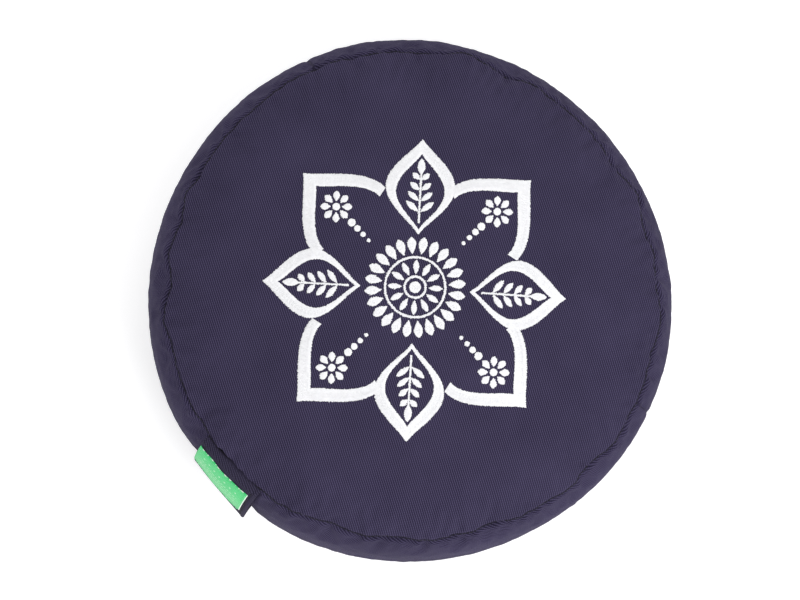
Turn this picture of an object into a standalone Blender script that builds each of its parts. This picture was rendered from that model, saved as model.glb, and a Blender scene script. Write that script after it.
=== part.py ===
"""Round floor cushion with a removable cover, a carry strap and a hull-filled inner bag.

Metres, +Z up. The origin is the middle of the flat underside. The carry strap is at the
front (-Y), the cover's zip runs round the back (+Y), low on the side band.
"""
import math

import bmesh
import bpy
from mathutils import Matrix, Vector

# ---------------------------------------------------------------- driving dimensions
SEAM_RADIUS = 0.1535          # top seam, where the panel meets the side band
BULGE_RADIUS = 0.166          # widest part of the filled side band
LOW_SEAM_RADIUS = 0.1550      # bottom seam
HEIGHT = 0.150                # top of the crown
TOP_SEAM_Z = 0.124
BULGE_Z = 0.066
LOW_SEAM_Z = 0.016
REST_RADIUS = 0.118           # flat disc that the cushion rests on
CROWN_POWER = 2.5             # how flat the crown is in the middle

CLOTH = 0.0012                # twill of the cover
BAG_CLOTH = 0.0008            # plain cotton of the inner bag
GAP = 0.0003                  # between touching pieces
AROUND = 60                   # segments in a full turn of the cover
AROUND_BAG = 40               # and of what lies inside it
AROUND_ZIP = 66               # and of the zips and the strips beside them
SEAM_GROOVE = 0.0006          # half the notch that the seam thread lies in
THREAD_RADIUS = 0.0005

STRAP_WIDTH = 0.048
STRAP_THICKNESS = 0.0018
STRAP_REACH = 0.1715          # inner face at its furthest: 5 mm clear of the band for fingers
STRAP_TOP_Z = TOP_SEAM_Z - CLOTH - 0.0016
STRAP_FOOT_Z = LOW_SEAM_Z + 0.0016
LABEL_WIDTH = 0.043
LABEL_SHIFT = -0.0018         # the label is sewn nearer to the strap's -X edge
LABEL_TOP_Z = 0.1195
LABEL_LENGTH = 0.0305
LABEL_THICKNESS = 0.0006

BAG_CLEARANCE = 0.0065        # room round the inner bag for its zip
BAG_CROWN_CLEARANCE = 0.0012

EMBROIDERY_THICKNESS = 0.0008
ROSETTE_RADIUS = 0.094        # tips of the four straight petals
DIAGONAL_RADIUS = 0.0985      # tips of the four petals between them
PETAL_VALLEY = 0.066          # where neighbouring petals meet
ROSETTE_HOLE = 0.0315         # the petals' inner edge
CENTRE_RADIUS = 0.0305        # the round centre motif
ROSETTE_TURN = -2.2           # degrees from +X to the nearest diagonal petal

# A zip's own sizes, for the cover (coil width about 6 mm) and the bag (about 4 mm).
COVER_ZIP = {
    "name": "cover", "scale": 1.0, "z": 0.032, "half_angle": 70.0, "has_pull": True,
}
BAG_ZIP = {
    "name": "bag", "scale": 0.70, "z": 0.092, "half_angle": 48.0, "has_pull": False,
}
ZIP_MIDDLE = 90.0             # both zips are centred on +Y
COIL_INNER = 0.0008           # half the parting line between the two coils
COIL_OUTER = 0.0030
COIL_LOW = -0.0013
COIL_HIGH = 0.0007
TAPE_LOW = -0.0022
TAPE_HIGH = -0.0016
TAPE_WIDTH = 0.0130
SLOT_HALF = 0.0053            # half the slot between the two zip strips
SLIDER_LENGTH = 0.0120
SLIDER_FRONT = 0.0096
SLIDER_REAR = 0.0084
SLIDER_PLATE = 0.0010
SLIDER_TOP = 0.0010           # underside of the outer plate
SLIDER_BOTTOM = -0.0026       # upper face of the inner plate
SLIDER_POST = 0.0009
BRIDGE_HALF = 0.0030
BRIDGE_BAR = 0.0010
BRIDGE_RISE = 0.0026
BRIDGE_WIDTH = 0.0022
PULL_BAR = 0.0007             # half the thickness of the bar under the bridge
PULL_EYE = 0.0047
PULL_LENGTH = 0.0240
PULL_WIDTH = 0.0070
PULL_EYE_HALF_WIDTH = 0.0015
STOP_LENGTH = 0.0022
STOP_WRAP = 0.0005

COLOURS = {
    "navy_twill": ((0.050, 0.043, 0.085), 0.9, 0.0),
    "white_thread": ((0.90, 0.90, 0.91), 0.45, 0.0),
    "navy_thread": ((0.035, 0.031, 0.060), 0.6, 0.0),
    "green_label": ((0.08, 0.64, 0.22), 0.6, 0.0),
    "navy_tape": ((0.040, 0.036, 0.070), 0.85, 0.0),
    "navy_coil": ((0.045, 0.040, 0.075), 0.4, 0.0),
    "dark_metal": ((0.16, 0.16, 0.17), 0.35, 1.0),
    "natural_cotton": ((0.72, 0.66, 0.54), 0.9, 0.0),
    "buckwheat_hulls": ((0.055, 0.035, 0.022), 0.8, 0.0),
}


# ---------------------------------------------------------------- scene helpers
def clear_scene():
    """Start from an empty file."""
    for old in list(bpy.data.objects):
        bpy.data.objects.remove(old, do_unlink=True)


def new_collection(name):
    group = bpy.data.collections.new(name)
    bpy.context.scene.collection.children.link(group)
    return group


def material(name):
    """A Principled material with a colour, roughness and metallic value from COLOURS."""
    found = bpy.data.materials.get(name)
    if found:
        return found
    colour, roughness, metallic = COLOURS[name]
    made = bpy.data.materials.new(name)
    made.use_nodes = True
    shader = made.node_tree.nodes["Principled BSDF"]
    shader.inputs["Base Color"].default_value = (*colour, 1.0)
    shader.inputs["Roughness"].default_value = roughness
    shader.inputs["Metallic"].default_value = metallic
    return made


def add_object(name, bm, slot, smooth_angle=35.0):
    """Turn a bmesh into a named object in the cushion's collection."""
    bmesh.ops.recalc_face_normals(bm, faces=bm.faces)
    mesh = bpy.data.meshes.new(name)
    bm.to_mesh(mesh)
    bm.free()
    mesh.shade_smooth()
    mesh.set_sharp_from_angle(angle=math.radians(smooth_angle))
    made = bpy.data.objects.new(name, mesh)
    made.data.materials.append(material(slot))
    PARTS.objects.link(made)
    return made


# ---------------------------------------------------------------- the cushion's outline
def crown_z(radius, seam_radius=SEAM_RADIUS, seam_z=TOP_SEAM_Z, top=HEIGHT):
    """Height of the domed top panel at a radius."""
    return seam_z + (top - seam_z) * (1.0 - (radius / seam_radius) ** CROWN_POWER)


def band_radius(z):
    """Radius of the side band's outer face at a height: it bulges most at BULGE_Z."""
    if z >= BULGE_Z:
        away, edge = (z - BULGE_Z) / (TOP_SEAM_Z - BULGE_Z), SEAM_RADIUS
    else:
        away, edge = (BULGE_Z - z) / (BULGE_Z - LOW_SEAM_Z), LOW_SEAM_RADIUS
    return edge + (BULGE_RADIUS - edge) * (1.0 - min(away, 1.0) ** 2.2) ** 0.75


def band_frame(z):
    """Point, upward tangent and outward normal of the band's outline, as (r, z) pairs."""
    step = 0.0005
    tangent = Vector((band_radius(z + step) - band_radius(z - step), 2.0 * step)).normalized()
    return Vector((band_radius(z), z)), tangent, Vector((tangent.y, -tangent.x))


def crown_line(inset, reach, points=7):
    """Outline of the domed top from the axis out to a radius, set in along the normal."""
    line = []
    for i in range(points):
        radius = reach * (i / (points - 1)) ** 0.8
        slope = (crown_z(radius + 1e-4) - crown_z(max(radius - 1e-4, 0.0))) / 2e-4
        if i == 0:
            slope = 0.0
        normal = Vector((-slope, 1.0)).normalized()
        line.append(Vector((radius, crown_z(radius))) - inset * normal)
    line[0].x = 0.0
    return line


def band_line(inset, low, high, points):
    """Outline of the side band between two heights, set in along the normal."""
    line = []
    for i in range(points):
        z = high + (low - high) * i / (points - 1)
        point, _, normal = band_frame(min(max(z, LOW_SEAM_Z + 0.0006), TOP_SEAM_Z - 0.0006))
        line.append(Vector((point.x, z)) - inset * normal)
    return line


def floor_line(inset, reach):
    """Outline of the underside from the axis out: flat, then curling up to the seam."""
    line = [Vector((0.0, inset)), Vector((REST_RADIUS, inset))]
    turns = 4
    for i in range(1, turns + 1):
        angle = math.pi / 2 * i / turns * 0.92
        run = math.sin(angle) / math.sin(math.pi / 2 * 0.92)
        rise = (1.0 - math.cos(angle)) / (1.0 - math.cos(math.pi / 2 * 0.92))
        radius = REST_RADIUS + (reach - REST_RADIUS) * run
        line.append(Vector((radius - inset * rise, inset + (LOW_SEAM_Z - SEAM_GROOVE - inset) * rise)))
    return line


def shell_section(outer, inner):
    """Closed section of a cloth shell from its outer and inner lines."""
    return list(outer) + list(reversed(inner))


# ---------------------------------------------------------------- modelling helpers
def turned(name, section, slot, start=0.0, sweep=360.0, around=AROUND):
    """Sweep a section, a list of (r, z) points, round the cushion's axis and close it."""
    bm = bmesh.new()
    first = math.radians(start)
    verts = [bm.verts.new((p.x * math.cos(first), p.x * math.sin(first), p.y)) for p in section]
    full = abs(sweep - 360.0) < 1e-6
    touches_axis = section[0].x < 1e-9
    edges = []
    for i, vert in enumerate(verts):
        after = verts[(i + 1) % len(verts)]
        if touches_axis and i == len(verts) - 1:
            continue
        edges.append(bm.edges.new((vert, after)))
    steps = around if full else max(2, round(around * sweep / 360.0))
    bmesh.ops.spin(bm, geom=verts + edges, cent=(0, 0, 0), axis=(0, 0, 1),
                   angle=math.radians(sweep), steps=steps, use_duplicate=False)
    bmesh.ops.remove_doubles(bm, verts=bm.verts, dist=0.00002)
    if not full:
        rims = [e for e in bm.edges if e.is_boundary]
        bmesh.ops.holes_fill(bm, edges=rims, sides=0)
    return add_object(name, bm, slot)


def ring(name, slot, radius, z, thickness_radius, sides=4):
    """A thread ring: a round section swept right round the cushion."""
    section = []
    for i in range(sides):
        angle = 2.0 * math.pi * i / sides
        section.append(Vector((radius + thickness_radius * math.cos(angle),
                               z + thickness_radius * math.sin(angle))))
    return turned(name, section, slot)


def local_section(z, corners):
    """Section given as (along, out) pairs on the band at height z, turned into (r, z)."""
    origin, along, out = band_frame(z)
    return [origin + s * along + n * out for s, n in corners]


def tape_section(z, side, k, inset):
    """Section of a zip tape, as (r, z) points that follow the curve of the band."""
    _, along, _ = band_frame(z)
    faces = {TAPE_HIGH * k - inset: [], TAPE_LOW * k - inset: []}
    for reach in (COIL_INNER, TAPE_WIDTH / 2.0, TAPE_WIDTH):
        origin, _, out = band_frame(z + side * reach * k * along.y)
        for depth, line in faces.items():
            line.append(origin + depth * out)
    outer, inner = faces.values()
    return shell_section(outer, inner)


def box_mesh(x0, x1, y0, y1, z0, z1):
    """A plain block between two corners."""
    bm = bmesh.new()
    bmesh.ops.create_cube(bm, size=1.0)
    bmesh.ops.scale(bm, verts=bm.verts, vec=(x1 - x0, y1 - y0, z1 - z0))
    bmesh.ops.translate(bm, verts=bm.verts, vec=((x0 + x1) / 2, (y0 + y1) / 2, (z0 + z1) / 2))
    return bm


def scratch_object(name, bm):
    """An object kept out of the cushion: a piece that a Boolean will use."""
    bmesh.ops.recalc_face_normals(bm, faces=bm.faces)
    mesh = bpy.data.meshes.new(name)
    bm.to_mesh(mesh)
    bm.free()
    made = bpy.data.objects.new(name, mesh)
    made.hide_render = True
    made.display_type = "WIRE"
    CUTTERS.objects.link(made)
    return made


def unite(target, others):
    """Join solids into one body with Boolean unions, then bake the result."""
    for other in others:
        joint = target.modifiers.new("join", "BOOLEAN")
        joint.operation = "UNION"
        joint.object = other
    bpy.context.view_layer.update()
    graph = bpy.context.evaluated_depsgraph_get()
    baked = bpy.data.meshes.new_from_object(target.evaluated_get(graph))
    target.modifiers.clear()
    target.data = baked
    for other in others:
        bpy.data.objects.remove(other, do_unlink=True)


def flat_outline(name, loops, slot, thickness):
    """Flat piece from closed 2D outlines (the first is the edge, the rest are holes)."""
    curve = bpy.data.curves.new(name + "_outline", "CURVE")
    curve.dimensions = "2D"
    curve.fill_mode = "BOTH"
    curve.extrude = thickness / 2.0
    for points in loops:
        spline = curve.splines.new("POLY")
        spline.points.add(len(points) - 1)
        for point, (x, y) in zip(spline.points, points):
            point.co = (x, y, 0.0, 1.0)
        spline.use_cyclic_u = True
    drawn = bpy.data.objects.new(name + "_outline", curve)
    CUTTERS.objects.link(drawn)
    graph = bpy.context.evaluated_depsgraph_get()
    mesh = bpy.data.meshes.new_from_object(drawn.evaluated_get(graph))
    bpy.data.objects.remove(drawn, do_unlink=True)
    bm = bmesh.new()
    bm.from_mesh(mesh)
    bmesh.ops.remove_doubles(bm, verts=bm.verts, dist=0.00001)
    return add_object(name, bm, slot)


def rounded_end(length, half_width, corner, steps=5):
    """Right-hand end of a tab as points from its lower to its upper side."""
    points = []
    for cx, cy, start in ((length - corner, -half_width + corner, -90.0),
                          (length - corner, half_width - corner, 0.0)):
        for i in range(steps + 1):
            angle = math.radians(start + 90.0 * i / steps)
            points.append((cx + corner * math.cos(angle), cy + corner * math.sin(angle)))
    return points


# ---------------------------------------------------------------- the cover
def make_cover():
    """Domed top panel, bottom panel and the side band in front of the zip."""
    edge = SEAM_RADIUS - 0.0002
    turned("cover_top_panel",
           shell_section(crown_line(0.0, edge), crown_line(CLOTH, edge)), "navy_twill")
    outer = floor_line(0.0, LOW_SEAM_RADIUS - 0.0002)
    inner = floor_line(CLOTH, LOW_SEAM_RADIUS - 0.0002)
    turned("cover_bottom_panel", shell_section(outer, inner), "navy_twill")

    low = LOW_SEAM_Z + SEAM_GROOVE
    high = TOP_SEAM_Z - 2.0 * SEAM_GROOVE - CLOTH
    zip_start = ZIP_MIDDLE - COVER_ZIP["half_angle"]
    zip_sweep = 2.0 * COVER_ZIP["half_angle"]
    joint_gap = math.degrees(GAP / BULGE_RADIUS)
    turned("side_band",
           shell_section(band_line(0.0, low, high, 9), band_line(CLOTH, low, high, 9)),
           "navy_twill", zip_start + zip_sweep + joint_gap, 360.0 - zip_sweep - 2.0 * joint_gap)

    _, along, _ = band_frame(COVER_ZIP["z"])
    above = COVER_ZIP["z"] + SLOT_HALF * along.y
    below = COVER_ZIP["z"] - SLOT_HALF * along.y
    turned("zip_strip_upper",
           shell_section(band_line(0.0, above, high, 8), band_line(CLOTH, above, high, 8)),
           "navy_twill", zip_start, zip_sweep, AROUND_ZIP)
    turned("zip_strip_lower",
           shell_section(band_line(0.0, low, below, 5), band_line(CLOTH, low, below, 5)),
           "navy_twill", zip_start, zip_sweep, AROUND_ZIP)
    ring("top_seam_thread", "navy_thread", SEAM_RADIUS - 0.0004,
         TOP_SEAM_Z - CLOTH - SEAM_GROOVE - 0.0002, THREAD_RADIUS * 0.6)
    ring("bottom_seam_thread", "navy_thread", LOW_SEAM_RADIUS - 0.0004,
         LOW_SEAM_Z, THREAD_RADIUS * 0.6)


# ---------------------------------------------------------------- embroidery
def rosette_radius(angle):
    """Outer edge of the eight-petal rosette: an ogee tip on each petal."""
    turn = math.radians(angle - ROSETTE_TURN) % (2.0 * math.pi)
    petal = int(round(turn / (math.pi / 4.0))) % 8
    tip = DIAGONAL_RADIUS if petal % 2 == 0 else ROSETTE_RADIUS
    away = abs(turn - round(turn / (math.pi / 4.0)) * math.pi / 4.0) / (math.pi / 8.0)
    return PETAL_VALLEY + (tip - PETAL_VALLEY) * (1.0 - away ** 1.6) ** 0.8


def domed_plate(name, slot, edge_radius, hole_radius, rings, spokes):
    """A thin plate that follows the crown, from a round hole out to an edge."""
    bm = bmesh.new()
    layers = []
    for lift in (GAP, GAP + EMBROIDERY_THICKNESS):
        layer = []
        for k in range(rings + 1):
            row = []
            for i in range(spokes):
                angle = 360.0 * i / spokes + ROSETTE_TURN
                radius = hole_radius + (edge_radius(angle) - hole_radius) * k / rings
                turn = math.radians(angle)
                row.append(bm.verts.new((radius * math.cos(turn), radius * math.sin(turn),
                                         crown_z(radius) + lift)))
            layer.append(row)
        layers.append(layer)
    for layer in layers:
        for inner, outer in zip(layer, layer[1:]):
            for i in range(spokes):
                j = (i + 1) % spokes
                bm.faces.new((inner[i], inner[j], outer[j], outer[i]))
    for k in (0, rings):
        low, high = layers[0][k], layers[1][k]
        for i in range(spokes):
            j = (i + 1) % spokes
            bm.faces.new((low[i], low[j], high[j], high[i]))
    return add_object(name, bm, slot)


def make_embroidery():
    """White thread work on the crown: a ring of eight petals and a round centre."""
    domed_plate("embroidered_petals", "white_thread", rosette_radius, ROSETTE_HOLE, 3, 72)
    domed_plate("embroidered_centre", "white_thread", lambda angle: CENTRE_RADIUS, 0.004, 2, 24)


# ---------------------------------------------------------------- strap and label
def strap_line(offset):
    """Side view of the strap as (out, z), offset outwards from its inner face.

    It leaves the top seam, bows out from the band and comes back in to the bottom seam.
    """
    middle, half = (STRAP_TOP_Z + STRAP_FOOT_Z) / 2.0, (STRAP_TOP_Z - STRAP_FOOT_Z) / 2.0
    count, clear = 24, STRAP_REACH - BULGE_RADIUS - GAP
    bare = []
    for i in range(count + 1):
        away = math.cos(math.pi * i / count)
        z = middle + half * away
        bare.append(Vector((band_radius(z) + GAP + clear * (1.0 - away * away), z)))
    line = []
    for i, point in enumerate(bare):
        along = (bare[max(i - 1, 0)] - bare[min(i + 1, count)]).normalized()
        line.append(point + offset * Vector((along.y, -along.x)))
    return line


def bent_strip(name, slot, inner, outer, half_width, shift=0.0):
    """A strip bent in side view and straight across, centred shift along X from -Y."""
    bm = bmesh.new()
    section = list(inner) + list(reversed(outer))
    verts = [bm.verts.new((shift - half_width, -p.x, p.y)) for p in section]
    face = bm.faces.new(verts)
    pushed = bmesh.ops.extrude_face_region(bm, geom=[face], use_keep_orig=True)
    moved = [v for v in pushed["geom"] if isinstance(v, bmesh.types.BMVert)]
    bmesh.ops.translate(bm, verts=moved, vec=(2.0 * half_width, 0, 0))
    return add_object(name, bm, slot)


def make_strap():
    """Carry strap from the top seam to the bottom seam, with a finger gap behind it."""
    inner = strap_line(0.0)
    outer = strap_line(STRAP_THICKNESS)
    bent_strip("carry_strap", "navy_twill", inner, outer, STRAP_WIDTH / 2.0)
    face = strap_line(STRAP_THICKNESS + GAP)
    back = strap_line(STRAP_THICKNESS + GAP + LABEL_THICKNESS)
    chosen = [i for i, p in enumerate(face) if LABEL_TOP_Z - LABEL_LENGTH < p.y < LABEL_TOP_Z]
    bent_strip("strap_label", "green_label",
               [face[i] for i in chosen], [back[i] for i in chosen], LABEL_WIDTH / 2.0, LABEL_SHIFT)


# ---------------------------------------------------------------- zips
def zip_place(spec, angle, inset):
    """Matrix at an angle round the zip: X along it, Y up the band, Z outwards."""
    origin, along, out = band_frame(spec["z"])
    origin = origin - inset * out
    turn = Matrix.Rotation(math.radians(angle), 4, "Z")
    up = Vector((along.x, 0.0, along.y))
    outward = Vector((out.x, 0.0, out.y))
    axes = Matrix((up.cross(outward), up, outward)).transposed().to_4x4()
    return turn @ Matrix.Translation((origin.x, 0.0, origin.y)) @ axes


def slider_mesh(name, slot, scale, with_bridge):
    """Slider body: two plates joined by a post, side flanges and a bridge for the pull."""
    half = SLIDER_LENGTH / 2.0
    front, rear = SLIDER_FRONT / 2.0, SLIDER_REAR / 2.0
    outline = [(-half, -front * 0.8), (-half + 0.0015, -front), (0.0, -front), (half - 0.001, -rear),
               (half, -rear * 0.8), (half, rear * 0.8), (half - 0.001, rear), (0.0, front),
               (-half + 0.0015, front), (-half, front * 0.8)]
    body = flat_outline(name, [outline], slot, SLIDER_PLATE)
    body.data.transform(Matrix.Translation((0, 0, SLIDER_TOP + SLIDER_PLATE / 2.0)))
    inner = flat_outline(name + "_inner", [outline], slot, SLIDER_PLATE)
    inner.data.transform(Matrix.Translation((0, 0, SLIDER_BOTTOM - SLIDER_PLATE / 2.0)))
    bite = 0.0001
    blocks = [
        box_mesh(-half + 0.0008, -half + 0.0040, -SLIDER_POST / 2, SLIDER_POST / 2,
                 SLIDER_BOTTOM - bite, SLIDER_TOP + bite),
    ]
    for side in (-1.0, 1.0):
        lip = sorted((side * (rear - 0.0001), side * (COIL_OUTER + 0.0003)))
        blocks.append(box_mesh(-half + 0.0012, half - 0.0012, lip[0], lip[1],
                               COIL_LOW + 0.0002, SLIDER_TOP + bite))
    if with_bridge:
        low = SLIDER_TOP + SLIDER_PLATE
        w = BRIDGE_WIDTH / 2.0
        for side in (-1.0, 1.0):
            foot = sorted((side * BRIDGE_HALF, side * (BRIDGE_HALF - BRIDGE_BAR)))
            blocks.append(box_mesh(foot[0], foot[1], -w, w, low - bite, low + BRIDGE_RISE + bite))
        blocks.append(box_mesh(-BRIDGE_HALF, BRIDGE_HALF, -w, w,
                               low + BRIDGE_RISE, low + BRIDGE_RISE + BRIDGE_BAR))
    others = [inner] + [scratch_object(name + "_block", b) for b in blocks]
    unite(body, others)
    body.data.transform(Matrix.Scale(scale, 4))
    return body


def pull_mesh(name, slot):
    """Pull tab: its bar turns under the slider's bridge, and the eye goes round the bridge."""
    half = PULL_WIDTH / 2.0
    edge = [(-PULL_BAR, half * 0.8), (-PULL_BAR, -half * 0.8), (0.0, -half)]
    edge += rounded_end(PULL_LENGTH, half, half * 0.9)
    edge += [(0.0, half)]
    eye = [(PULL_BAR, -PULL_EYE_HALF_WIDTH), (PULL_EYE, -PULL_EYE_HALF_WIDTH),
           (PULL_EYE, PULL_EYE_HALF_WIDTH), (PULL_BAR, PULL_EYE_HALF_WIDTH)]
    return flat_outline(name, [edge, eye], slot, 2.0 * PULL_BAR)


def make_zip(spec, inset, prefix):
    """Two tapes, two coils, stops and a slider that runs round the cushion's axis."""
    k = spec["scale"]
    start = ZIP_MIDDLE - spec["half_angle"]
    sweep = 2.0 * spec["half_angle"]
    for word, side in (("upper", 1.0), ("lower", -1.0)):
        coil = [(side * COIL_INNER * k, COIL_LOW * k - inset), (side * COIL_OUTER * k, COIL_LOW * k - inset),
                (side * COIL_OUTER * k, COIL_HIGH * k - inset), (side * COIL_INNER * k, COIL_HIGH * k - inset)]
        turned(prefix + "_coil_" + word, local_section(spec["z"], coil), "navy_coil",
               start + 1.5, sweep - 3.0, AROUND_ZIP)
        turned(prefix + "_tape_" + word, tape_section(spec["z"], side, k, inset), "navy_tape",
               start + 0.3, sweep - 0.6, AROUND_ZIP)
    low, high = COIL_LOW * k - inset, COIL_HIGH * k - inset
    for word, angle in (("closed_stop", start + 1.2), ("open_stop", start + sweep - 1.2)):
        stop = [(-COIL_OUTER * k, low), (COIL_OUTER * k, low), (COIL_OUTER * k, high + STOP_WRAP * k),
                (-COIL_OUTER * k, high + STOP_WRAP * k)]
        width = math.degrees(STOP_LENGTH * k / band_radius(spec["z"]))
        first = angle - width if word == "closed_stop" else angle
        turned(prefix + "_" + word, local_section(spec["z"], stop), "dark_metal", first, width)

    first_stop = start + 1.5 + math.degrees(SLIDER_LENGTH * k * 0.65 / band_radius(spec["z"]))
    place = zip_place(spec, first_stop, inset)
    slider = slider_mesh(prefix + "_slider", "dark_metal", k, spec["has_pull"])
    slider.matrix_world = place
    if spec["has_pull"]:
        pull = pull_mesh(prefix + "_pull", "dark_metal")
        bar_height = SLIDER_TOP + SLIDER_PLATE + BRIDGE_RISE / 2.0
        pull.matrix_world = place @ Matrix.Translation((0, 0, bar_height))
    return place


# ---------------------------------------------------------------- inner bag and filling
def set_in(section, side, crown):
    """Shrink a section of the whole outline: in at the sides, down at the top."""
    return [Vector((max(p.x - side, 0.0) if p.x > 1e-9 else 0.0, p.y - crown)) for p in section]


def bag_radius(z):
    return band_radius(z) - BAG_CLEARANCE


def make_bag():
    """Plain cotton bag: two round panels, a side band with its own zip, and the filling."""
    floor_gap = CLOTH + GAP
    edge = SEAM_RADIUS - BAG_CLEARANCE
    drop = CLOTH + BAG_CROWN_CLEARANCE

    def top_line(inset):
        return [Vector((p.x * edge / (SEAM_RADIUS - 0.0002), p.y - drop))
                for p in crown_line(inset, SEAM_RADIUS - 0.0002)]

    def low_line(inset):
        scale = (LOW_SEAM_RADIUS - BAG_CLEARANCE) / LOW_SEAM_RADIUS
        return [Vector((p.x * scale, p.y + floor_gap)) for p in floor_line(inset, LOW_SEAM_RADIUS)]

    turned("bag_top_panel", shell_section(top_line(0.0), top_line(BAG_CLOTH)), "natural_cotton",
           around=AROUND_BAG)
    turned("bag_bottom_panel", shell_section(low_line(0.0), low_line(BAG_CLOTH)), "natural_cotton",
           around=AROUND_BAG)

    low = LOW_SEAM_Z + floor_gap + 0.0006
    high = TOP_SEAM_Z - drop - BAG_CLOTH - 0.0012
    start = ZIP_MIDDLE - BAG_ZIP["half_angle"]
    sweep = 2.0 * BAG_ZIP["half_angle"]
    joint_gap = math.degrees(GAP / BULGE_RADIUS)

    def side(inset, z0, z1, count):
        return band_line(BAG_CLEARANCE + inset, z0, z1, count)

    turned("bag_side_band", shell_section(side(0.0, low, high, 6), side(BAG_CLOTH, low, high, 6)),
           "natural_cotton", start + sweep + joint_gap, 360.0 - sweep - 2.0 * joint_gap, AROUND_BAG)
    _, along, _ = band_frame(BAG_ZIP["z"])
    reach = SLOT_HALF * BAG_ZIP["scale"] * along.y
    above, below = BAG_ZIP["z"] + reach, BAG_ZIP["z"] - reach
    turned("bag_strip_upper", shell_section(side(0.0, above, high, 4), side(BAG_CLOTH, above, high, 4)),
           "natural_cotton", start, sweep, AROUND_ZIP)
    turned("bag_strip_lower", shell_section(side(0.0, low, below, 7), side(BAG_CLOTH, low, below, 7)),
           "natural_cotton", start, sweep, AROUND_ZIP)

    fill_inset = BAG_CLEARANCE + BAG_CLOTH + 0.0030
    fill_edge = SEAM_RADIUS - fill_inset
    top = [Vector((p.x * fill_edge / (SEAM_RADIUS - 0.0002), p.y - drop - BAG_CLOTH - 0.0006))
           for p in crown_line(0.0, SEAM_RADIUS - 0.0002)]
    fill_low = LOW_SEAM_Z + 0.004
    fill_high = top[-1].y - 0.004
    wall = band_line(fill_inset, fill_low, fill_high, 6)
    scale = (LOW_SEAM_RADIUS - fill_inset) / LOW_SEAM_RADIUS
    base = [Vector((p.x * scale * 0.995, p.y + floor_gap + BAG_CLOTH + GAP))
            for p in floor_line(0.0, LOW_SEAM_RADIUS)]
    base[0].x = 0.0
    turned("hull_filling", top + wall + list(reversed(base[:-1])), "buckwheat_hulls", around=AROUND_BAG)


# ---------------------------------------------------------------- build
clear_scene()
PARTS = new_collection("floor_cushion")
CUTTERS = new_collection("cutters")
make_cover()
make_embroidery()
make_strap()
make_zip(COVER_ZIP, 0.0, "cover_zip")
make_bag()
make_zip(BAG_ZIP, BAG_CLEARANCE, "bag_zip")
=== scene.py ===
# %% [markdown]
# # A round, embroidered floor cushion
# The cushion is a cotton cover sewn from two round panels and a side band, filled tight
# with an inner bag of buckwheat hulls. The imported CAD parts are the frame: they give every
# size and place. This script makes the cloth, the thread work, the strap and the zips, and
# it never moves a CAD part.

# %% Load the frame
import math

import bmesh
import bpy
import numpy as np
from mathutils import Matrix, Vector
from mathutils.bvhtree import BVHTree


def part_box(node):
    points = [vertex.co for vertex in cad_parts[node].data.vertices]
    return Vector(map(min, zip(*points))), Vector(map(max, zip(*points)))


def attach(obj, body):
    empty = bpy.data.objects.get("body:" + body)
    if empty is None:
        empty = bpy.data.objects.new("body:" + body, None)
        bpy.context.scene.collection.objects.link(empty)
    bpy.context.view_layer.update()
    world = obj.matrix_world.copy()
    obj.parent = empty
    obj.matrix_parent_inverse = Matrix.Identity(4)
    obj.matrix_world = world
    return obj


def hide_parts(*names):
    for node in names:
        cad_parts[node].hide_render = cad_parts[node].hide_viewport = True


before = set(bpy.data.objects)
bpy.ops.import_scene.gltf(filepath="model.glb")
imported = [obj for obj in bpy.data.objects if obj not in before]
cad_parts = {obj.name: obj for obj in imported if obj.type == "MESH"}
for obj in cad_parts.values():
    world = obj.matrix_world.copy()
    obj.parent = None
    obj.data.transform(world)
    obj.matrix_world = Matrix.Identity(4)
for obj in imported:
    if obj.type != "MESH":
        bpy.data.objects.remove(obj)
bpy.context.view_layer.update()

MM = 0.001


def new_object(name, mesh):
    """Link a new object with this mesh, at the origin; gives the object."""
    linked = bpy.data.objects.new(name, mesh)
    bpy.context.scene.collection.objects.link(linked)
    return linked


# %% [markdown]
# ## The camera
# The cushion lies on the floor and is seen almost straight down, from a little to the side
# of the strap. A long lens keeps the round outline round. The camera comes first, because
# everything else is judged through it.

# %% Camera
TILT = math.radians(5.5)             # away from straight down
LEAN_TOWARDS = math.radians(289.0)   # the side the camera leans to, as an angle round +Z
PICTURE_UP = math.radians(136.0)     # the direction that points up in the picture
DISTANCE = 1.60                      # from the top seam to the lens
LENS_MM = 116.6
AIM = Vector((-0.0027, -0.0076, 0.110))


def make_camera():
    """A camera above AIM that leans by TILT, turned so that PICTURE_UP is up."""
    away = Vector((math.sin(TILT) * math.cos(LEAN_TOWARDS),
                   math.sin(TILT) * math.sin(LEAN_TOWARDS), math.cos(TILT)))
    hint = Vector((math.cos(PICTURE_UP), math.sin(PICTURE_UP), 0.0))
    right = hint.cross(away).normalized()
    up = away.cross(right)
    data = bpy.data.cameras.new("camera")
    data.lens = LENS_MM
    data.clip_end = 20.0
    made = new_object("camera", data)
    place = made.matrix_world.copy()
    for column, axis in enumerate((right, up, away)):
        for row in range(3):
            place[row][column] = axis[row]
    for row in range(3):
        place[row][3] = (AIM + away * DISTANCE)[row]
    made.matrix_world = place
    bpy.context.scene.camera = made
    return made


camera = make_camera()
print("camera at", [round(v, 3) for v in camera.matrix_world.translation])

# %% [markdown]
# ## The studio
# A product table: a plain, nearly white floor and very even light, so that the dark cloth
# shows its weave and the outline stays clean. The table top glows a little, as a light table
# does, which keeps the floor white right up to the cushion. One broad light from the right
# gives the cloth its slow gradient, and the white surroundings fill the shadows.

# %% Floor, surroundings and lights
FLOOR_GLOW = 0.34             # the table is lit from below, so the floor stays white


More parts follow.
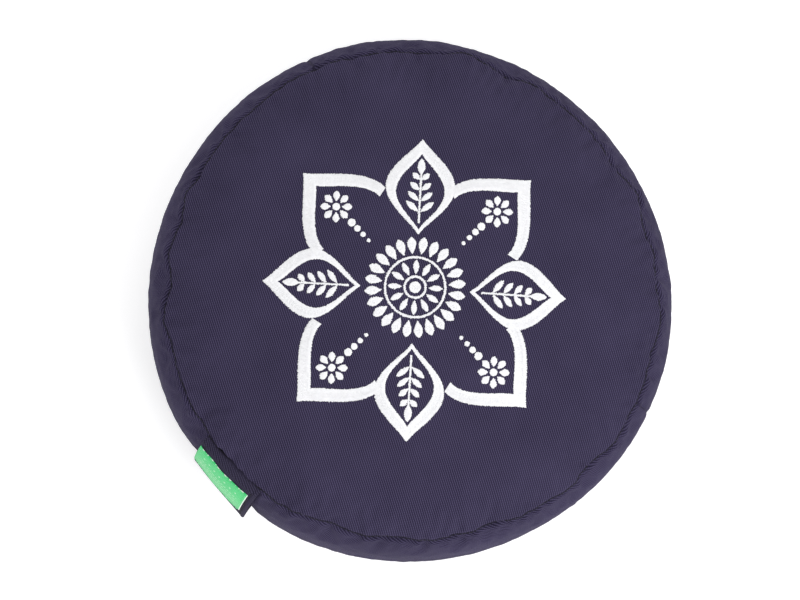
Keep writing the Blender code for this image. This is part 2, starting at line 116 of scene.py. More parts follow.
def make_studio():
    """A pale floor, a white world and two broad lights."""
    bm = bmesh.new()
    bmesh.ops.create_grid(bm, x_segments=1, y_segments=1, size=3.0)
    mesh = bpy.data.meshes.new("floor")
    bm.to_mesh(mesh)
    bm.free()
    floor = new_object("floor", mesh)
    paint = bpy.data.materials.new("pale_floor")
    paint.use_nodes = True
    shader = paint.node_tree.nodes["Principled BSDF"]
    shader.inputs["Base Color"].default_value = (0.93, 0.93, 0.93, 1.0)
    shader.inputs["Roughness"].default_value = 0.9
    shader.inputs["Specular IOR Level"].default_value = 0.2
    shader.inputs["Emission Color"].default_value = (1.0, 1.0, 1.0, 1.0)
    shader.inputs["Emission Strength"].default_value = FLOOR_GLOW
    mesh.materials.append(paint)

    world = bpy.data.worlds.new("white_room")
    world.use_nodes = True
    world.node_tree.nodes["Background"].inputs["Color"].default_value = (1.0, 1.0, 1.0, 1.0)
    world.node_tree.nodes["Background"].inputs["Strength"].default_value = 0.86
    bpy.context.scene.world = world
    bpy.context.scene.view_settings.view_transform = "Standard"

    for name, place, size, power in (("broad_light", (1.15, -0.10, 1.05), 0.8, 11.0),
                                     ("fill_light", (-0.9, 0.9, 1.3), 1.2, 5.0)):
        data = bpy.data.lights.new(name, "AREA")
        data.energy = power
        data.size = size
        light = new_object(name, data)
        light.location = place
        light.rotation_euler = (Vector((0, 0, 0.1)) - light.location).to_track_quat("-Z", "Y").to_euler()


make_studio()

# %% [markdown]
# ## Navy twill
# Twill shows steep diagonal ribs, the wales, each made of short floats of yarn. The weave
# is drawn on a UV map laid out in metres, so it keeps its scale and follows every panel the
# way the cloth was cut. Two waves make it: one across the wales, and one along them that
# breaks each wale into floats. A slow noise stands for uneven dye and lint.

# %% Material helpers
def node_material(name):
    """A new node material; gives (material, nodes, links, Principled shader)."""
    made = bpy.data.materials.new(name)
    made.use_nodes = True
    tree = made.node_tree
    return made, tree.nodes, tree.links, tree.nodes["Principled BSDF"]


def math_node(nodes, links, operation, first, second=None, third=None):
    """A Math node; each input is a socket or a number. Gives its output socket."""
    node = nodes.new("ShaderNodeMath")
    node.operation = operation
    for i, value in enumerate((first, second, third)):
        if value is None:
            continue
        if isinstance(value, (int, float)):
            node.inputs[i].default_value = value
        else:
            links.new(value, node.inputs[i])
    return node.outputs[0]


def math_of(nodes, links):
    """A short form of math_node for one material."""
    def m(operation, first, second=None, third=None):
        return math_node(nodes, links, operation, first, second, third)
    return m


def wave_of(m, value, pitch, turns=2.0 * math.pi):
    """A sine wave along a value, one turn each pitch, from -1 to 1."""
    return m("SINE", m("MULTIPLY", value, turns / pitch))


def colour_mix(nodes, links, factor, low, high):
    """Mix two colours, each a socket or an (r, g, b) triple."""
    node = nodes.new("ShaderNodeMix")
    node.data_type = "RGBA"
    links.new(factor, node.inputs["Factor"])
    for socket, value in ((node.inputs["A"], low), (node.inputs["B"], high)):
        if isinstance(value, tuple):
            socket.default_value = (*value, 1.0)
        else:
            links.new(value, socket)
    return node.outputs["Result"]


def noise(nodes, links, vector, scale, detail=2.0, roughness=0.5):
    node = nodes.new("ShaderNodeTexNoise")
    node.inputs["Scale"].default_value = scale
    node.inputs["Detail"].default_value = detail
    node.inputs["Roughness"].default_value = roughness
    links.new(vector, node.inputs["Vector"])
    return node.outputs["Fac"]


def bump(nodes, links, height, distance, strength=1.0, normal=None):
    node = nodes.new("ShaderNodeBump")
    node.inputs["Distance"].default_value = distance
    node.inputs["Strength"].default_value = strength
    links.new(height, node.inputs["Height"])
    if normal is not None:
        links.new(normal, node.inputs["Normal"])
    return node.outputs["Normal"]


# %% Twill material
WALE_PITCH = 1.28 * MM        # from one diagonal rib to the next
FLOAT_LENGTH = 1.15 * MM      # one yarn float along a wale
WALE_TURN = math.radians(64.0)  # direction across the wales in the cloth's own UV


def twill_material(name, deep, light, wale_turn=WALE_TURN):
    """Twill in two tones of one dye, with wales, floats, lint and a soft sheen."""
    made, nodes, links, shader = node_material(name)
    uv = nodes.new("ShaderNodeUVMap")
    uv.uv_map = "cloth"
    split = nodes.new("ShaderNodeSeparateXYZ")
    links.new(uv.outputs["UV"], split.inputs[0])
    x, y = split.outputs[0], split.outputs[1]

    m = math_of(nodes, links)
    wobble = noise(nodes, links, uv.outputs["UV"], 260.0, 2.0)
    wobble = m("MULTIPLY_ADD", wobble, 0.34, -0.17)
    cos, sin = math.cos(wale_turn), math.sin(wale_turn)
    across = m("MULTIPLY", x, cos / WALE_PITCH)
    across = m("MULTIPLY_ADD", y, sin / WALE_PITCH, across)
    across = m("ADD", across, wobble)
    along = m("MULTIPLY", x, -sin / FLOAT_LENGTH)
    along = m("MULTIPLY_ADD", y, cos / FLOAT_LENGTH, along)
    along = m("MULTIPLY_ADD", across, 0.5, along)

    wale = m("MULTIPLY_ADD", wave_of(m, across, 1.0), 0.5, 0.5)
    yarn = m("MULTIPLY_ADD", wave_of(m, along, 1.0), 0.5, 0.5)
    raised = m("MULTIPLY", wale, m("MULTIPLY_ADD", yarn, 0.45, 0.55))

    fibre = noise(nodes, links, uv.outputs["UV"], 2600.0, 3.0, 0.7)
    cloud = noise(nodes, links, uv.outputs["UV"], 22.0, 3.0, 0.55)
    tone = m("MULTIPLY_ADD", fibre, 0.55, -0.18)
    tone = m("MULTIPLY_ADD", raised, 0.95, tone)
    tone = m("MULTIPLY_ADD", cloud, 0.34, tone)
    tone = m("SUBTRACT", tone, 0.25)
    node = nodes.new("ShaderNodeClamp")
    links.new(tone, node.inputs[0])
    links.new(colour_mix(nodes, links, node.outputs[0], deep, light), shader.inputs["Base Color"])

    height = m("MULTIPLY_ADD", fibre, 0.25, raised)
    links.new(bump(nodes, links, height, 0.00022, 0.9), shader.inputs["Normal"])
    shader.inputs["Roughness"].default_value = 0.88
    shader.inputs["Specular IOR Level"].default_value = 0.06
    shader.inputs["Sheen Weight"].default_value = 0.035
    shader.inputs["Sheen Roughness"].default_value = 0.45
    shader.inputs["Sheen Tint"].default_value = (0.80, 0.72, 1.0, 1.0)
    return made


NAVY = twill_material("woven_twill", (0.014, 0.0115, 0.027), (0.077, 0.065, 0.131))
# A darker copy of the twill for the strap: painted shade, for the strap lying in shadow by the band.
SHADED_NAVY = twill_material("pressed_twill", (0.012, 0.010, 0.021), (0.056, 0.049, 0.090))
print("twill:", NAVY.name)

# %% [markdown]
# ## The filled cover
# A cover like this is flat cloth forced into a round shape: the seam threads hold their
# length while the cloth beside them is eased in, so it puckers, and the hulls press
# everything outwards. A cloth simulation does the same. The outline is turned from the CAD
# sizes, the two seams keep their length, the cloth near them is a little too large, and
# pressure fills it. The middle of the top and the underside are held, because the hulls
# are packed flat there.

# %% Sizes from the frame
top_low, top_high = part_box("cover_top_panel")
band_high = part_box("side_band")[1]
base_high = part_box("cover_bottom_panel")[1]
SEAM_R = top_high[0] + 0.2 * MM
HEIGHT = top_high[2]
TOP_SEAM_Z = top_low[2] + 1.1 * MM
BULGE_R = band_high[0]
BULGE_Z = 66 * MM
LOW_SEAM_R = base_high[0] + 0.2 * MM
LOW_SEAM_Z = base_high[2] + 0.6 * MM
REST_R = 118 * MM
ZIP_Z = (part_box("cover_zip_coil_lower")[0][2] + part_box("cover_zip_coil_upper")[1][2]) / 2.0
print("seam radius", round(SEAM_R, 4), "bulge", round(BULGE_R, 4), "height", round(HEIGHT, 4),
      "top seam z", round(TOP_SEAM_Z, 4), "low seam", round(LOW_SEAM_R, 4), round(LOW_SEAM_Z, 4))


# %% The outline of the filled cushion
def crown_z(radius):
    """Height of the domed top at a radius."""
    return TOP_SEAM_Z + (HEIGHT - TOP_SEAM_Z) * (1.0 - (radius / SEAM_R) ** 2.5)


def band_radius(z, bulge=1.0):
    """Radius of the side band at a height; bulge scales how far it pushes out."""
    if z >= BULGE_Z:
        away, edge = (z - BULGE_Z) / (TOP_SEAM_Z - BULGE_Z), SEAM_R
    else:
        away, edge = (BULGE_Z - z) / (BULGE_Z - LOW_SEAM_Z), LOW_SEAM_R
    return edge + bulge * (BULGE_R - edge) * (1.0 - min(away, 1.0) ** 2.2) ** 0.75


def line_between(points, step):
    """Resample a dense (r, z) line at an even spacing; gives an array of (r, z)."""
    points = np.array(points)
    run = np.r_[0.0, np.cumsum(np.hypot(*np.diff(points, axis=0).T))]
    wanted = np.linspace(0.0, run[-1], max(2, int(run[-1] / step) + 1))
    return np.c_[np.interp(wanted, run, points[:, 0]), np.interp(wanted, run, points[:, 1])]


FREE_FROM_R = 100 * MM        # the crown is held inside this radius
SIM_STEP = 3.6 * MM           # spacing of the simulated cloth's rings
SIM_AROUND = 240              # and its points round the cushion
START_BULGE = 0.62            # the band starts slacker than it ends, because pressure fills it

top_line = line_between([(r, crown_z(r)) for r in np.linspace(FREE_FROM_R, SEAM_R, 80)], SIM_STEP)
side_line = line_between([(band_radius(z, START_BULGE), z)
                          for z in np.linspace(TOP_SEAM_Z, LOW_SEAM_Z, 200)], SIM_STEP)


def underside(turn):
    """Point of the curl from the resting face (turn 0) up to the bottom seam (turn 1)."""
    full = 0.46 * math.pi
    run = math.sin(full * turn) / math.sin(full)
    rise = (1.0 - math.cos(full * turn)) / (1.0 - math.cos(full))
    return REST_R + (LOW_SEAM_R - REST_R) * run, LOW_SEAM_Z * rise


curl_line = line_between([underside(t) for t in np.linspace(1.0, 0.0, 60)], SIM_STEP)
held_top = [(r, crown_z(r)) for r in np.array([6, 30, 55, 78]) * MM]
held_base = [(r, 0.0) for r in np.array([95, 65, 35, 6]) * MM]
rings = np.vstack([held_top, top_line, side_line[1:], curl_line[1:], held_base])
TOP_SEAM = len(held_top) + len(top_line) - 1
LOW_SEAM = TOP_SEAM + len(side_line) - 1
LAST_FREE = LOW_SEAM + len(curl_line) - 2
print("rings:", len(rings), "top seam ring", TOP_SEAM, "low seam ring", LOW_SEAM)

# %% [markdown]
# The cloth's rest size is set with a shrink group. Weight 1 keeps its length, weight 0
# lets it be a little longer than the shape that it starts from. The seams have weight 1,
# so the cloth beside them has to fold.

# %% Simulate the cloth
EASE = 0.022                  # extra length of the cloth beside the seams
PRESSURE = 3.2
SIM_FRAMES = 22
MOST_MOVE = 7 * MM            # cap on how far a point may travel
EASED_OVER = 34 * MM          # the crown's movement starts gently, beside the part that is held,
                              # and dies away at the bottom seam, where the weight rests
SEED = 11


def ring_grid(lines, around):
    """Points of every ring: an array (rings, around, 3)."""
    turn = np.arange(around) * 2.0 * np.pi / around
    return np.stack([lines[:, :1] * np.cos(turn), lines[:, :1] * np.sin(turn),
                     np.repeat(lines[:, 1:], around, axis=1)], axis=2)


def grid_faces(count, around):
    """Quads of a ring grid, and one closing face at each end."""
    faces = []
    for i in range(count - 1):
        for j in range(around):
            k = (j + 1) % around
            faces.append((i * around + j, (i + 1) * around + j, (i + 1) * around + k, i * around + k))
    faces.append(tuple(range(around)))
    faces.append(tuple((count - 1) * around + j for j in reversed(range(around))))
    return faces


def simulate_cover():
    """Pressure fills the cloth while the seams hold; gives the settled ring grid."""
    start = ring_grid(rings, SIM_AROUND)
    rng = np.random.default_rng(SEED)
    shake = start.copy()
    shake[TOP_SEAM - 8:LAST_FREE] += rng.normal(0.0, 0.15 * MM, shake[TOP_SEAM - 8:LAST_FREE].shape)
    mesh = bpy.data.meshes.new("cover_cloth")
    mesh.from_pydata(shake.reshape(-1, 3).tolist(), [], grid_faces(len(rings), SIM_AROUND))
    cloth = new_object("cover_cloth", mesh)
    pinned = cloth.vertex_groups.new(name="pinned")
    kept = cloth.vertex_groups.new(name="kept_length")
    for i, (radius, _) in enumerate(rings):
        ring = list(range(i * SIM_AROUND, (i + 1) * SIM_AROUND))
        if i < len(held_top) + 1 or i > LAST_FREE:
            pinned.add(ring, 1.0, "REPLACE")
        if i in (TOP_SEAM, LOW_SEAM):
            kept.add(ring, 1.0, "REPLACE")
        elif i < TOP_SEAM:
            slack = max(0.0, (radius - 0.80 * SEAM_R) / (0.20 * SEAM_R))
            kept.add(ring, 1.0 - slack, "REPLACE")
    cover = cloth.modifiers.new("cloth", "CLOTH")
    cloth_is = cover.settings
    cloth_is.quality = 5
    cloth_is.mass = 0.3
    cloth_is.tension_stiffness = 15.0
    cloth_is.compression_stiffness = 15.0
    cloth_is.shear_stiffness = 7.5
    cloth_is.bending_stiffness = 0.5
    cloth_is.air_damping = 2.0
    cloth_is.use_pressure = True
    cloth_is.uniform_pressure_force = PRESSURE
    cloth_is.vertex_group_mass = "pinned"
    cloth_is.vertex_group_shrink = "kept_length"
    cloth_is.shrink_min = -EASE
    cloth_is.shrink_max = 0.0
    cloth_is.effector_weights.gravity = 0.0
    cover.point_cache.frame_start = 1
    cover.point_cache.frame_end = SIM_FRAMES
    for number in range(1, SIM_FRAMES + 1):
        bpy.context.scene.frame_set(number)
    settled = bpy.data.meshes.new_from_object(cloth.evaluated_get(bpy.context.evaluated_depsgraph_get()))
    flat = np.zeros(len(settled.vertices) * 3)
    settled.vertices.foreach_get("co", flat)
    bpy.data.objects.remove(cloth, do_unlink=True)
    bpy.context.scene.frame_set(1)
    move = flat.reshape(start.shape) - start
    far = np.linalg.norm(move, axis=2, keepdims=True)
    move = move * np.minimum(1.0, MOST_MOVE / np.maximum(far, 1e-9))
    eased = np.clip((rings[:TOP_SEAM, 0] - FREE_FROM_R) / EASED_OVER, 0.0, 1.0)
    move[:TOP_SEAM] *= (eased * eased * (3.0 - 2.0 * eased))[:, None, None]
    from_low = LOW_SEAM - np.arange(TOP_SEAM, len(rings))
    move[TOP_SEAM:] *= np.clip(0.25 + 0.15 * from_low, 0.25, 1.0)[:, None, None]
    return start + move


settled_grid = simulate_cover()
settled_r = np.hypot(settled_grid[..., 0], settled_grid[..., 1])
print("widest ring:", round(settled_r.mean(axis=1).max() * 1000, 1), "mm; top seam:",
      round(settled_r[TOP_SEAM].mean() * 1000, 1), "mm, +-", round(settled_r[TOP_SEAM].std() * 1000, 2))

# %% [markdown]
# Use has left the cushion not quite round. Slow waves move its upper part in and out, and the
# band gives way a little behind the carry strap. Everything that sits on the cover's upper
# part goes through the same function, so it stays together.

# %% A worn outline
WORN = ((0, -1.3, 0.0), (1, 1.3, 46.0), (2, 0.7, -34.0), (3, 1.1, -73.0))  # waves round, mm, degrees
WORN_FROM_Z, WORN_TO_Z = 45 * MM, 88 * MM
BEHIND_STRAP = -2.6 * MM
BEHIND_REACH = 30 * MM


def worn(points, behind_strap=True):
    """Move points in or out round the cushion, fully near the top and not at all below."""
    points = np.asarray(points, dtype=float)
    turn = np.arctan2(points[..., 1], points[..., 0])
    radius = np.hypot(points[..., 0], points[..., 1])
    move = sum(amount * MM * np.cos(times * turn + math.radians(phase)) for times, amount, phase in WORN)
    high = np.clip((points[..., 2] - WORN_FROM_Z) / (WORN_TO_Z - WORN_FROM_Z), 0.0, 1.0)
    share = high * high * (3.0 - 2.0 * high) * np.clip(radius / SEAM_R, 0.0, 1.0) ** 3
    move = move * share
    if behind_strap:
        aside = np.exp(-((turn + math.pi / 2.0) * SEAM_R / BEHIND_REACH) ** 4)
        height = (points[..., 2] - LOW_SEAM_Z) / (TOP_SEAM_Z - LOW_SEAM_Z)
        given = aside * np.sin(np.pi * np.clip(height, 0.0, 1.0))
        move = move + BEHIND_STRAP * given * (radius > 0.9 * SEAM_R)
    factor = 1.0 + move / np.maximum(radius, 1e-9)
    return points * np.stack([factor, factor, np.ones_like(factor)], axis=-1)


settled_grid = worn(settled_grid)
worn_r = np.hypot(settled_grid[TOP_SEAM, :, 0], settled_grid[TOP_SEAM, :, 1])
print("top seam radius now from", round(worn_r.min() * 1000, 1), "to", round(worn_r.max() * 1000, 1), "mm")

# %% [markdown]
# ## A finer cover over the simulated one
# The simulated grid is regular, so a finer one can be read from it: round the cushion by
# its Fourier series, which repeats exactly, and down each line by a smooth curve that
# stops at the seams. Rings crowd together beside the seams, where the cloth turns down
# into the stitching, and short ease ticks are pressed in on both sides of it.

# %% Finer rings
AROUND = 720
NEAR_SEAM = np.array([0.0, 0.45, 0.9, 1.4, 2.0, 2.8, 3.8, 5.0, 6.4, 8.0, 10.0]) * MM
NEAR_ZIP = np.array([0.0, 2.5, 4.6, 5.0, 5.35, 5.75, 6.3, 7.1, 7.7, 8.3, 9.2, 11.0]) * MM
WIDE_STEP = 2.6 * MM


def finer_round(grid, around):
    """More points round each ring, from its Fourier series."""
    series = np.fft.rfft(grid, axis=1)
    return np.fft.irfft(series, n=around, axis=1) * (around / grid.shape[1])


def smooth_rows(grid, run, wanted):
    """Read rows at the distances wanted from rows at the distances run (Catmull-Rom)."""
    place = np.clip(np.searchsorted(run, wanted, side="right") - 1, 0, len(run) - 2)
    before, after = np.maximum(place - 1, 0), np.minimum(place + 2, len(run) - 1)
    gap = run[place + 1] - run[place]
    t = ((wanted - run[place]) / gap)[:, None, None]
    start_slope = (grid[place + 1] - grid[before]) * (gap / (run[place + 1] - run[before]))[:, None, None]
    end_slope = (grid[after] - grid[place]) * (gap / (run[after] - run[place]))[:, None, None]
    t2, t3 = t * t, t * t * t
    return ((2 * t3 - 3 * t2 + 1) * grid[place] + (t3 - 2 * t2 + t) * start_slope
            + (3 * t2 - 2 * t3) * grid[place + 1] + (t3 - t2) * end_slope)


def run_of(grid):
    """Mean distance along the rings from the first one."""
    steps = np.linalg.norm(np.diff(grid, axis=0), axis=2).mean(axis=1)
    return np.r_[0.0, np.cumsum(steps)]


def spaced(length, at_start, at_end, line=None):
    """Distances from 0 to length that crowd beside a seam end and beside the zip's line."""
    head = NEAR_SEAM if at_start else np.array([0.0])
    tail = length - NEAR_SEAM[::-1] if at_end else np.array([length])
    stops = [head[-1], tail[0]]
    crowd = np.array([])
    if line is not None:
        crowd = line + np.r_[-NEAR_ZIP[::-1], NEAR_ZIP]
        tail = tail[tail > crowd[-1] + 1.0 * MM]
        stops = [head[-1], crowd[0], crowd[-1], tail[0]]
    rows = [head, crowd, tail]
    for low, high in zip(stops[::2], stops[1::2]):
        rows.append(np.linspace(low, high, max(2, int((high - low) / WIDE_STEP) + 1)))
    return np.unique(np.round(np.concatenate(rows), 7))


round_grid = finer_round(settled_grid, AROUND)
panels = {}
for panel, first, last, seam_first, seam_last in (("top", 0, TOP_SEAM, False, True),
                                                  ("band", TOP_SEAM, LOW_SEAM, True, True),
                                                  ("base", LOW_SEAM, len(rings) - 1, True, False)):
    part = round_grid[first:last + 1]
    run = run_of(part)
    zip_run = None
    if panel == "band":
        zip_run = float(np.interp(-ZIP_Z, -part[..., 2].mean(axis=1), run))
    wanted = spaced(run[-1], seam_first, seam_last, zip_run)
    to_seam = np.full(len(wanted), 1.0)
    if seam_first:
        to_seam = np.minimum(to_seam, wanted)
    if seam_last:
        to_seam = np.minimum(to_seam, run[-1] - wanted)
    panels[panel] = {"points": smooth_rows(part, run, wanted), "run": wanted, "to_seam": to_seam,
                     "zip_run": zip_run}
    print(panel, "panel:", len(wanted), "rings over", round(run[-1] * 1000, 1), "mm")


# %% Seam groove and ease ticks
GROOVE_DEPTH = 1.8 * MM
GROOVE_REACH = 1.5 * MM
TICK_DEPTH = {"top": 0.22 * MM, "band": 0.42 * MM, "base": 0.12 * MM}
TICK_REACH = 3.2 * MM
WANDER = 0.85 * MM            # how far the top seam strays in and out of its circle
WANDER_REACH = 9 * MM


def round_noise(rng, lowest, highest, around=AROUND):
    """A smooth random wave that closes round the cushion, with spread 1."""
    turn = np.arange(around) * 2.0 * np.pi / around
    wave = np.zeros(around)
    for times in range(lowest, highest):
        wave += rng.normal() * np.cos(times * turn + rng.uniform(0.0, 2.0 * np.pi))
    return wave / wave.std()


def unit(vectors):
    return vectors / np.maximum(np.linalg.norm(vectors, axis=-1, keepdims=True), 1e-12)


def grid_normals(points):
    """Outward normals of a ring grid."""
    round_it = np.roll(points, -1, axis=1) - np.roll(points, 1, axis=1)
    return unit(np.cross(np.gradient(points, axis=0), round_it))


rng = np.random.default_rng(SEED)
wander = round_noise(rng, 8, 30)
wander = WANDER * np.sign(wander) * np.abs(wander) ** 1.3
turn = np.arange(AROUND) * 2.0 * np.pi / AROUND
wander = wander * (1.0 - np.exp(-(np.angle(np.exp(1j * (turn + math.pi / 2.0))) * SEAM_R / (32 * MM)) ** 4))
for panel in ("top", "band"):
    near = np.exp(-(panels[panel]["to_seam"] / WANDER_REACH) ** 2)
    if panel == "band":
        near[len(near) // 2:] = 0.0
    outward = unit(panels[panel]["points"] * np.array([1.0, 1.0, 0.0]))
    panels[panel]["points"] = panels[panel]["points"] + outward * (near[:, None] * wander)[..., None]

pull = np.clip(0.8 + 0.25 * round_noise(rng, 3, 40), 0.35, 1.5)
fine_ticks = round_noise(rng, 90, 190)
broad_ticks = round_noise(rng, 25, 70)
normals = {name: grid_normals(data["points"]) for name, data in panels.items()}
seam_in = {"top": unit(normals["top"][-1] + normals["band"][0]),
           "base": unit(normals["base"][0] + normals["band"][-1])}
for panel, data in panels.items():
    points, away = data["points"], data["to_seam"][:, None]
    half = len(points) // 2
    into = np.empty_like(points)
    into[:half] = seam_in["base" if panel == "base" else "top"]
    into[half:] = seam_in["top" if panel == "top" else "base"]
    blend = np.exp(-(away / (3.0 * MM)) ** 2)[..., None]
    normal = unit(normals[panel] * (1.0 - blend) + into * blend)
    groove = GROOVE_DEPTH * np.exp(-(away / GROOVE_REACH) ** 2) * pull[None, :]
    shoulder = 0.35 * MM * np.exp(-((away - 2.6 * MM) / (1.6 * MM)) ** 2)
    rise = (away / TICK_REACH) * np.exp(1.0 - away / TICK_REACH)
    ticks = TICK_DEPTH[panel] * rise * (0.6 * fine_ticks + 0.7 * broad_ticks)[None, :]
    data["points"] = points + normal * (shoulder + ticks - groove)[..., None]
panels["band"]["points"][0] = panels["top"]["points"][-1]
panels["band"]["points"][-1] = panels["base"]["points"][0]
panels["base"]["points"][..., 2] = np.maximum(panels["base"]["points"][..., 2], 0.0)
print("groove", GROOVE_DEPTH * 1000, "mm deep; points:",
      sum(len(d["points"]) for d in panels.values()) * AROUND)

# %% [markdown]
# The zip needs a steady place, so beside it the cloth goes back to the CAD outline. The two
# strips of the band are folded under at the zip: their edges are a rounded lip over a slot,
# with a row of topstitching pressed in next to it. Upright seams close the strips' ends.

# %% Zip slot and upright seams
ZIP_FROM, ZIP_TO = math.radians(20.0), math.radians(160.0)
SLOT_HALF = 5.3 * MM
SLOT_DEPTH = 4.0 * MM
CALM_REACH = 15 * MM          # how far from the zip the cloth is calmed
TOPSTITCH = 7.7 * MM          # from the zip's middle to the topstitching


def shape_zip_slot(data):
    """Calm the band beside the zip, press in the slot and the upright seams."""
    points, run = data["points"], data["run"]
    turn = np.arange(AROUND) * 2.0 * np.pi / AROUND
    offset = data["zip_run"] - run
    fine_z = np.linspace(LOW_SEAM_Z, TOP_SEAM_Z, 800)
    fine_r = np.array([band_radius(z) for z in fine_z])
    length = np.r_[0.0, np.cumsum(np.hypot(np.diff(fine_z), np.diff(fine_r)))]
    heights = np.interp(np.interp(ZIP_Z, fine_z, length) + offset, length, fine_z)
    radii = np.interp(heights, fine_z, fine_r)
    calm_points = np.stack([radii[:, None] * np.cos(turn), radii[:, None] * np.sin(turn),
                            np.repeat(heights[:, None], AROUND, axis=1)], axis=2)
    inside = np.minimum(turn - ZIP_FROM, ZIP_TO - turn) * BULGE_R
    by_turn = np.clip((inside + 12 * MM) / (12 * MM), 0.0, 1.0)
    by_turn = by_turn * by_turn * (3.0 - 2.0 * by_turn)
    by_row = np.exp(-(np.maximum(np.abs(offset) - 6 * MM, 0.0) / CALM_REACH) ** 2)
    by_row = by_row * np.clip(data["to_seam"] / (8 * MM), 0.0, 1.0)
    calm = (by_row[:, None] * by_turn[None, :])[..., None]
    points = points * (1.0 - calm) + calm_points * calm
    side = np.abs(offset)[:, None]
    in_slot = np.clip((SLOT_HALF + 0.05 * MM - side) / (0.35 * MM), 0.0, 1.0) * (inside > 0.0)[None, :]
    lip = 0.45 * MM * np.exp(-((side - 6.2 * MM) / (0.9 * MM)) ** 2) * (inside > 0.0)[None, :]
    stitched = 0.35 * MM * np.exp(-((side - TOPSTITCH) / (0.4 * MM)) ** 2) * (inside > 0.0)[None, :]
    upright = np.zeros(AROUND)
    for angle in (ZIP_FROM, ZIP_TO):
        upright += np.exp(-((turn - angle) * BULGE_R / (1.3 * MM)) ** 2)
    upright = 0.9 * MM * upright[None, :] * (side > SLOT_HALF)
    lift = lip - SLOT_DEPTH * in_slot - stitched - upright
    lift = lift * np.clip(data["to_seam"] / (1.0 * MM), 0.0, 1.0)[:, None]
    return points + grid_normals(points) * lift[..., None]


panels["band"]["points"] = shape_zip_slot(panels["band"])
print("zip slot:", 2000 * SLOT_HALF, "mm wide, cloth calmed within", CALM_REACH * 1000, "mm")


# %% Build the cover as one closed mesh
THIN_OUT = ((76 * MM, 2), (38 * MM, 4), (19 * MM, 8))   # inside a radius, keep every nth point


def thinning(radius):
    """How many points round a ring are skipped near the middle of a round panel."""
    keep = 1
    for limit, every in THIN_OUT:
        if radius < limit:
            keep = every
    return keep


def join_rings(bm, uv_layer, first, second, uv_first, uv_second, slot):
    """Faces between two rings; the second may have half or twice as many points."""
    big, small = (first, second) if len(first) >= len(second) else (second, first)
    uv_big, uv_small = (uv_first, uv_second) if len(first) >= len(second) else (uv_second, uv_first)
    turned_round = len(first) < len(second)
    ratio = len(big) // len(small)
    for j in range(len(small)):
        k = (j + 1) % len(small)
        run = [(big[(j * ratio + i) % len(big)], uv_big(j * ratio + i)) for i in range(ratio + 1)]
        corners = run[::-1] + [(small[j], uv_small(j)), (small[k], uv_small(j + 1))]
        if turned_round:
            corners = corners[::-1]
        face = bm.faces.new([c[0] for c in corners])
        face.material_index = slot
        for loop, corner in zip(face.loops, corners):
            loop[uv_layer].uv = corner[1]


def build_cover():
    """Weld the three panels into one skin, with the weave's UV in metres on each panel."""
    bm = bmesh.new()
    uv_layer = bm.loops.layers.uv.new("cloth")
    upright = [round(a / (2.0 * math.pi) * AROUND) for a in (ZIP_FROM, ZIP_TO)]
    last_ring = None
    poles = []
    for panel in ("top", "band", "base"):
        points, run = panels[panel]["points"], panels[panel]["run"]
        flat_r = run[-1] + float(np.hypot(points[-1, :, 0], points[-1, :, 1]).mean())
        previous = None
        for i, row in enumerate(points):
            every = thinning(float(np.hypot(row[:, 0], row[:, 1]).mean())) if panel != "band" else 1
            kept = row[::every]
            if i == 0 and last_ring is not None:
                ring = last_ring
            else:
                ring = [bm.verts.new(p) for p in kept]

            def uv_of(j, kept=kept, run_here=run[i], panel=panel, flat_r=flat_r):
                p = kept[j % len(kept)]
                if panel == "top":
                    return (p[0], p[1])
                if panel == "base":
                    spread = (flat_r - run_here) / math.hypot(p[0], p[1])
                    return (p[0] * spread, -p[1] * spread)
                step = j % AROUND if j < upright[0] else j
                shift = 0.37 if upright[0] <= j < upright[1] else 0.0
                return (step * 2.0 * math.pi / AROUND * 0.162 + shift, -run_here)

            if previous is not None:
                join_rings(bm, uv_layer, previous[0], ring, previous[1], uv_of, 0)
            elif panel == "top":
                poles.append((ring, uv_of, 1))
            previous = (ring, uv_of)
        last_ring = previous[0]
        if panel == "base":
            poles.append((previous[0], previous[1], -1))
    for ring, uv_of, up in poles:
        middle = Vector((0.0, 0.0, sum(v.co.z for v in ring) / len(ring)))
        pole = bm.verts.new(middle)
        for j in range(len(ring)):
            k = (j + 1) % len(ring)
            corners = [(pole, (0.0, 0.0)), (ring[j], uv_of(j)), (ring[k], uv_of(j + 1))]
            if up < 0:
                corners = corners[::-1]
            face = bm.faces.new([c[0] for c in corners])
            for loop, corner in zip(face.loops, corners):
                loop[uv_layer].uv = corner[1]
    mesh = bpy.data.meshes.new("cushion_cover")
    bm.to_mesh(mesh)
    print("cover:", len(bm.faces), "faces; open edges:", sum(not e.is_manifold for e in bm.edges),
          "volume", round(bm.calc_volume(signed=True) * 1000, 2), "litres")
    bm.free()
    mesh.shade_smooth()
    mesh.materials.append(NAVY)
    return new_object("cushion_cover", mesh)


cover = build_cover()
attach(cover, "cushion")
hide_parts("cover_top_panel", "cover_bottom_panel", "side_band", "zip_strip_upper",
            "zip_strip_lower")

# %% [markdown]
# ## The embroidered rosette
# Machine embroidery is made of satin columns: the thread runs from one edge of a shape to
# the other, over and over. A column here is two rails, and its stitches are edges from rail
# to rail. A long stitch would snag, so a wide column splits its stitches at staggered points,
# which leaves the pinholes of real fill stitching. The rosette is a plain eight-petal one,
# drawn on a petal's own axis in millimetres: u runs out from the middle, v goes sideways.
# Each shape is drawn once, then mirrored and turned round the cushion.

# %% Satin columns
RAIL_POINTS = 60


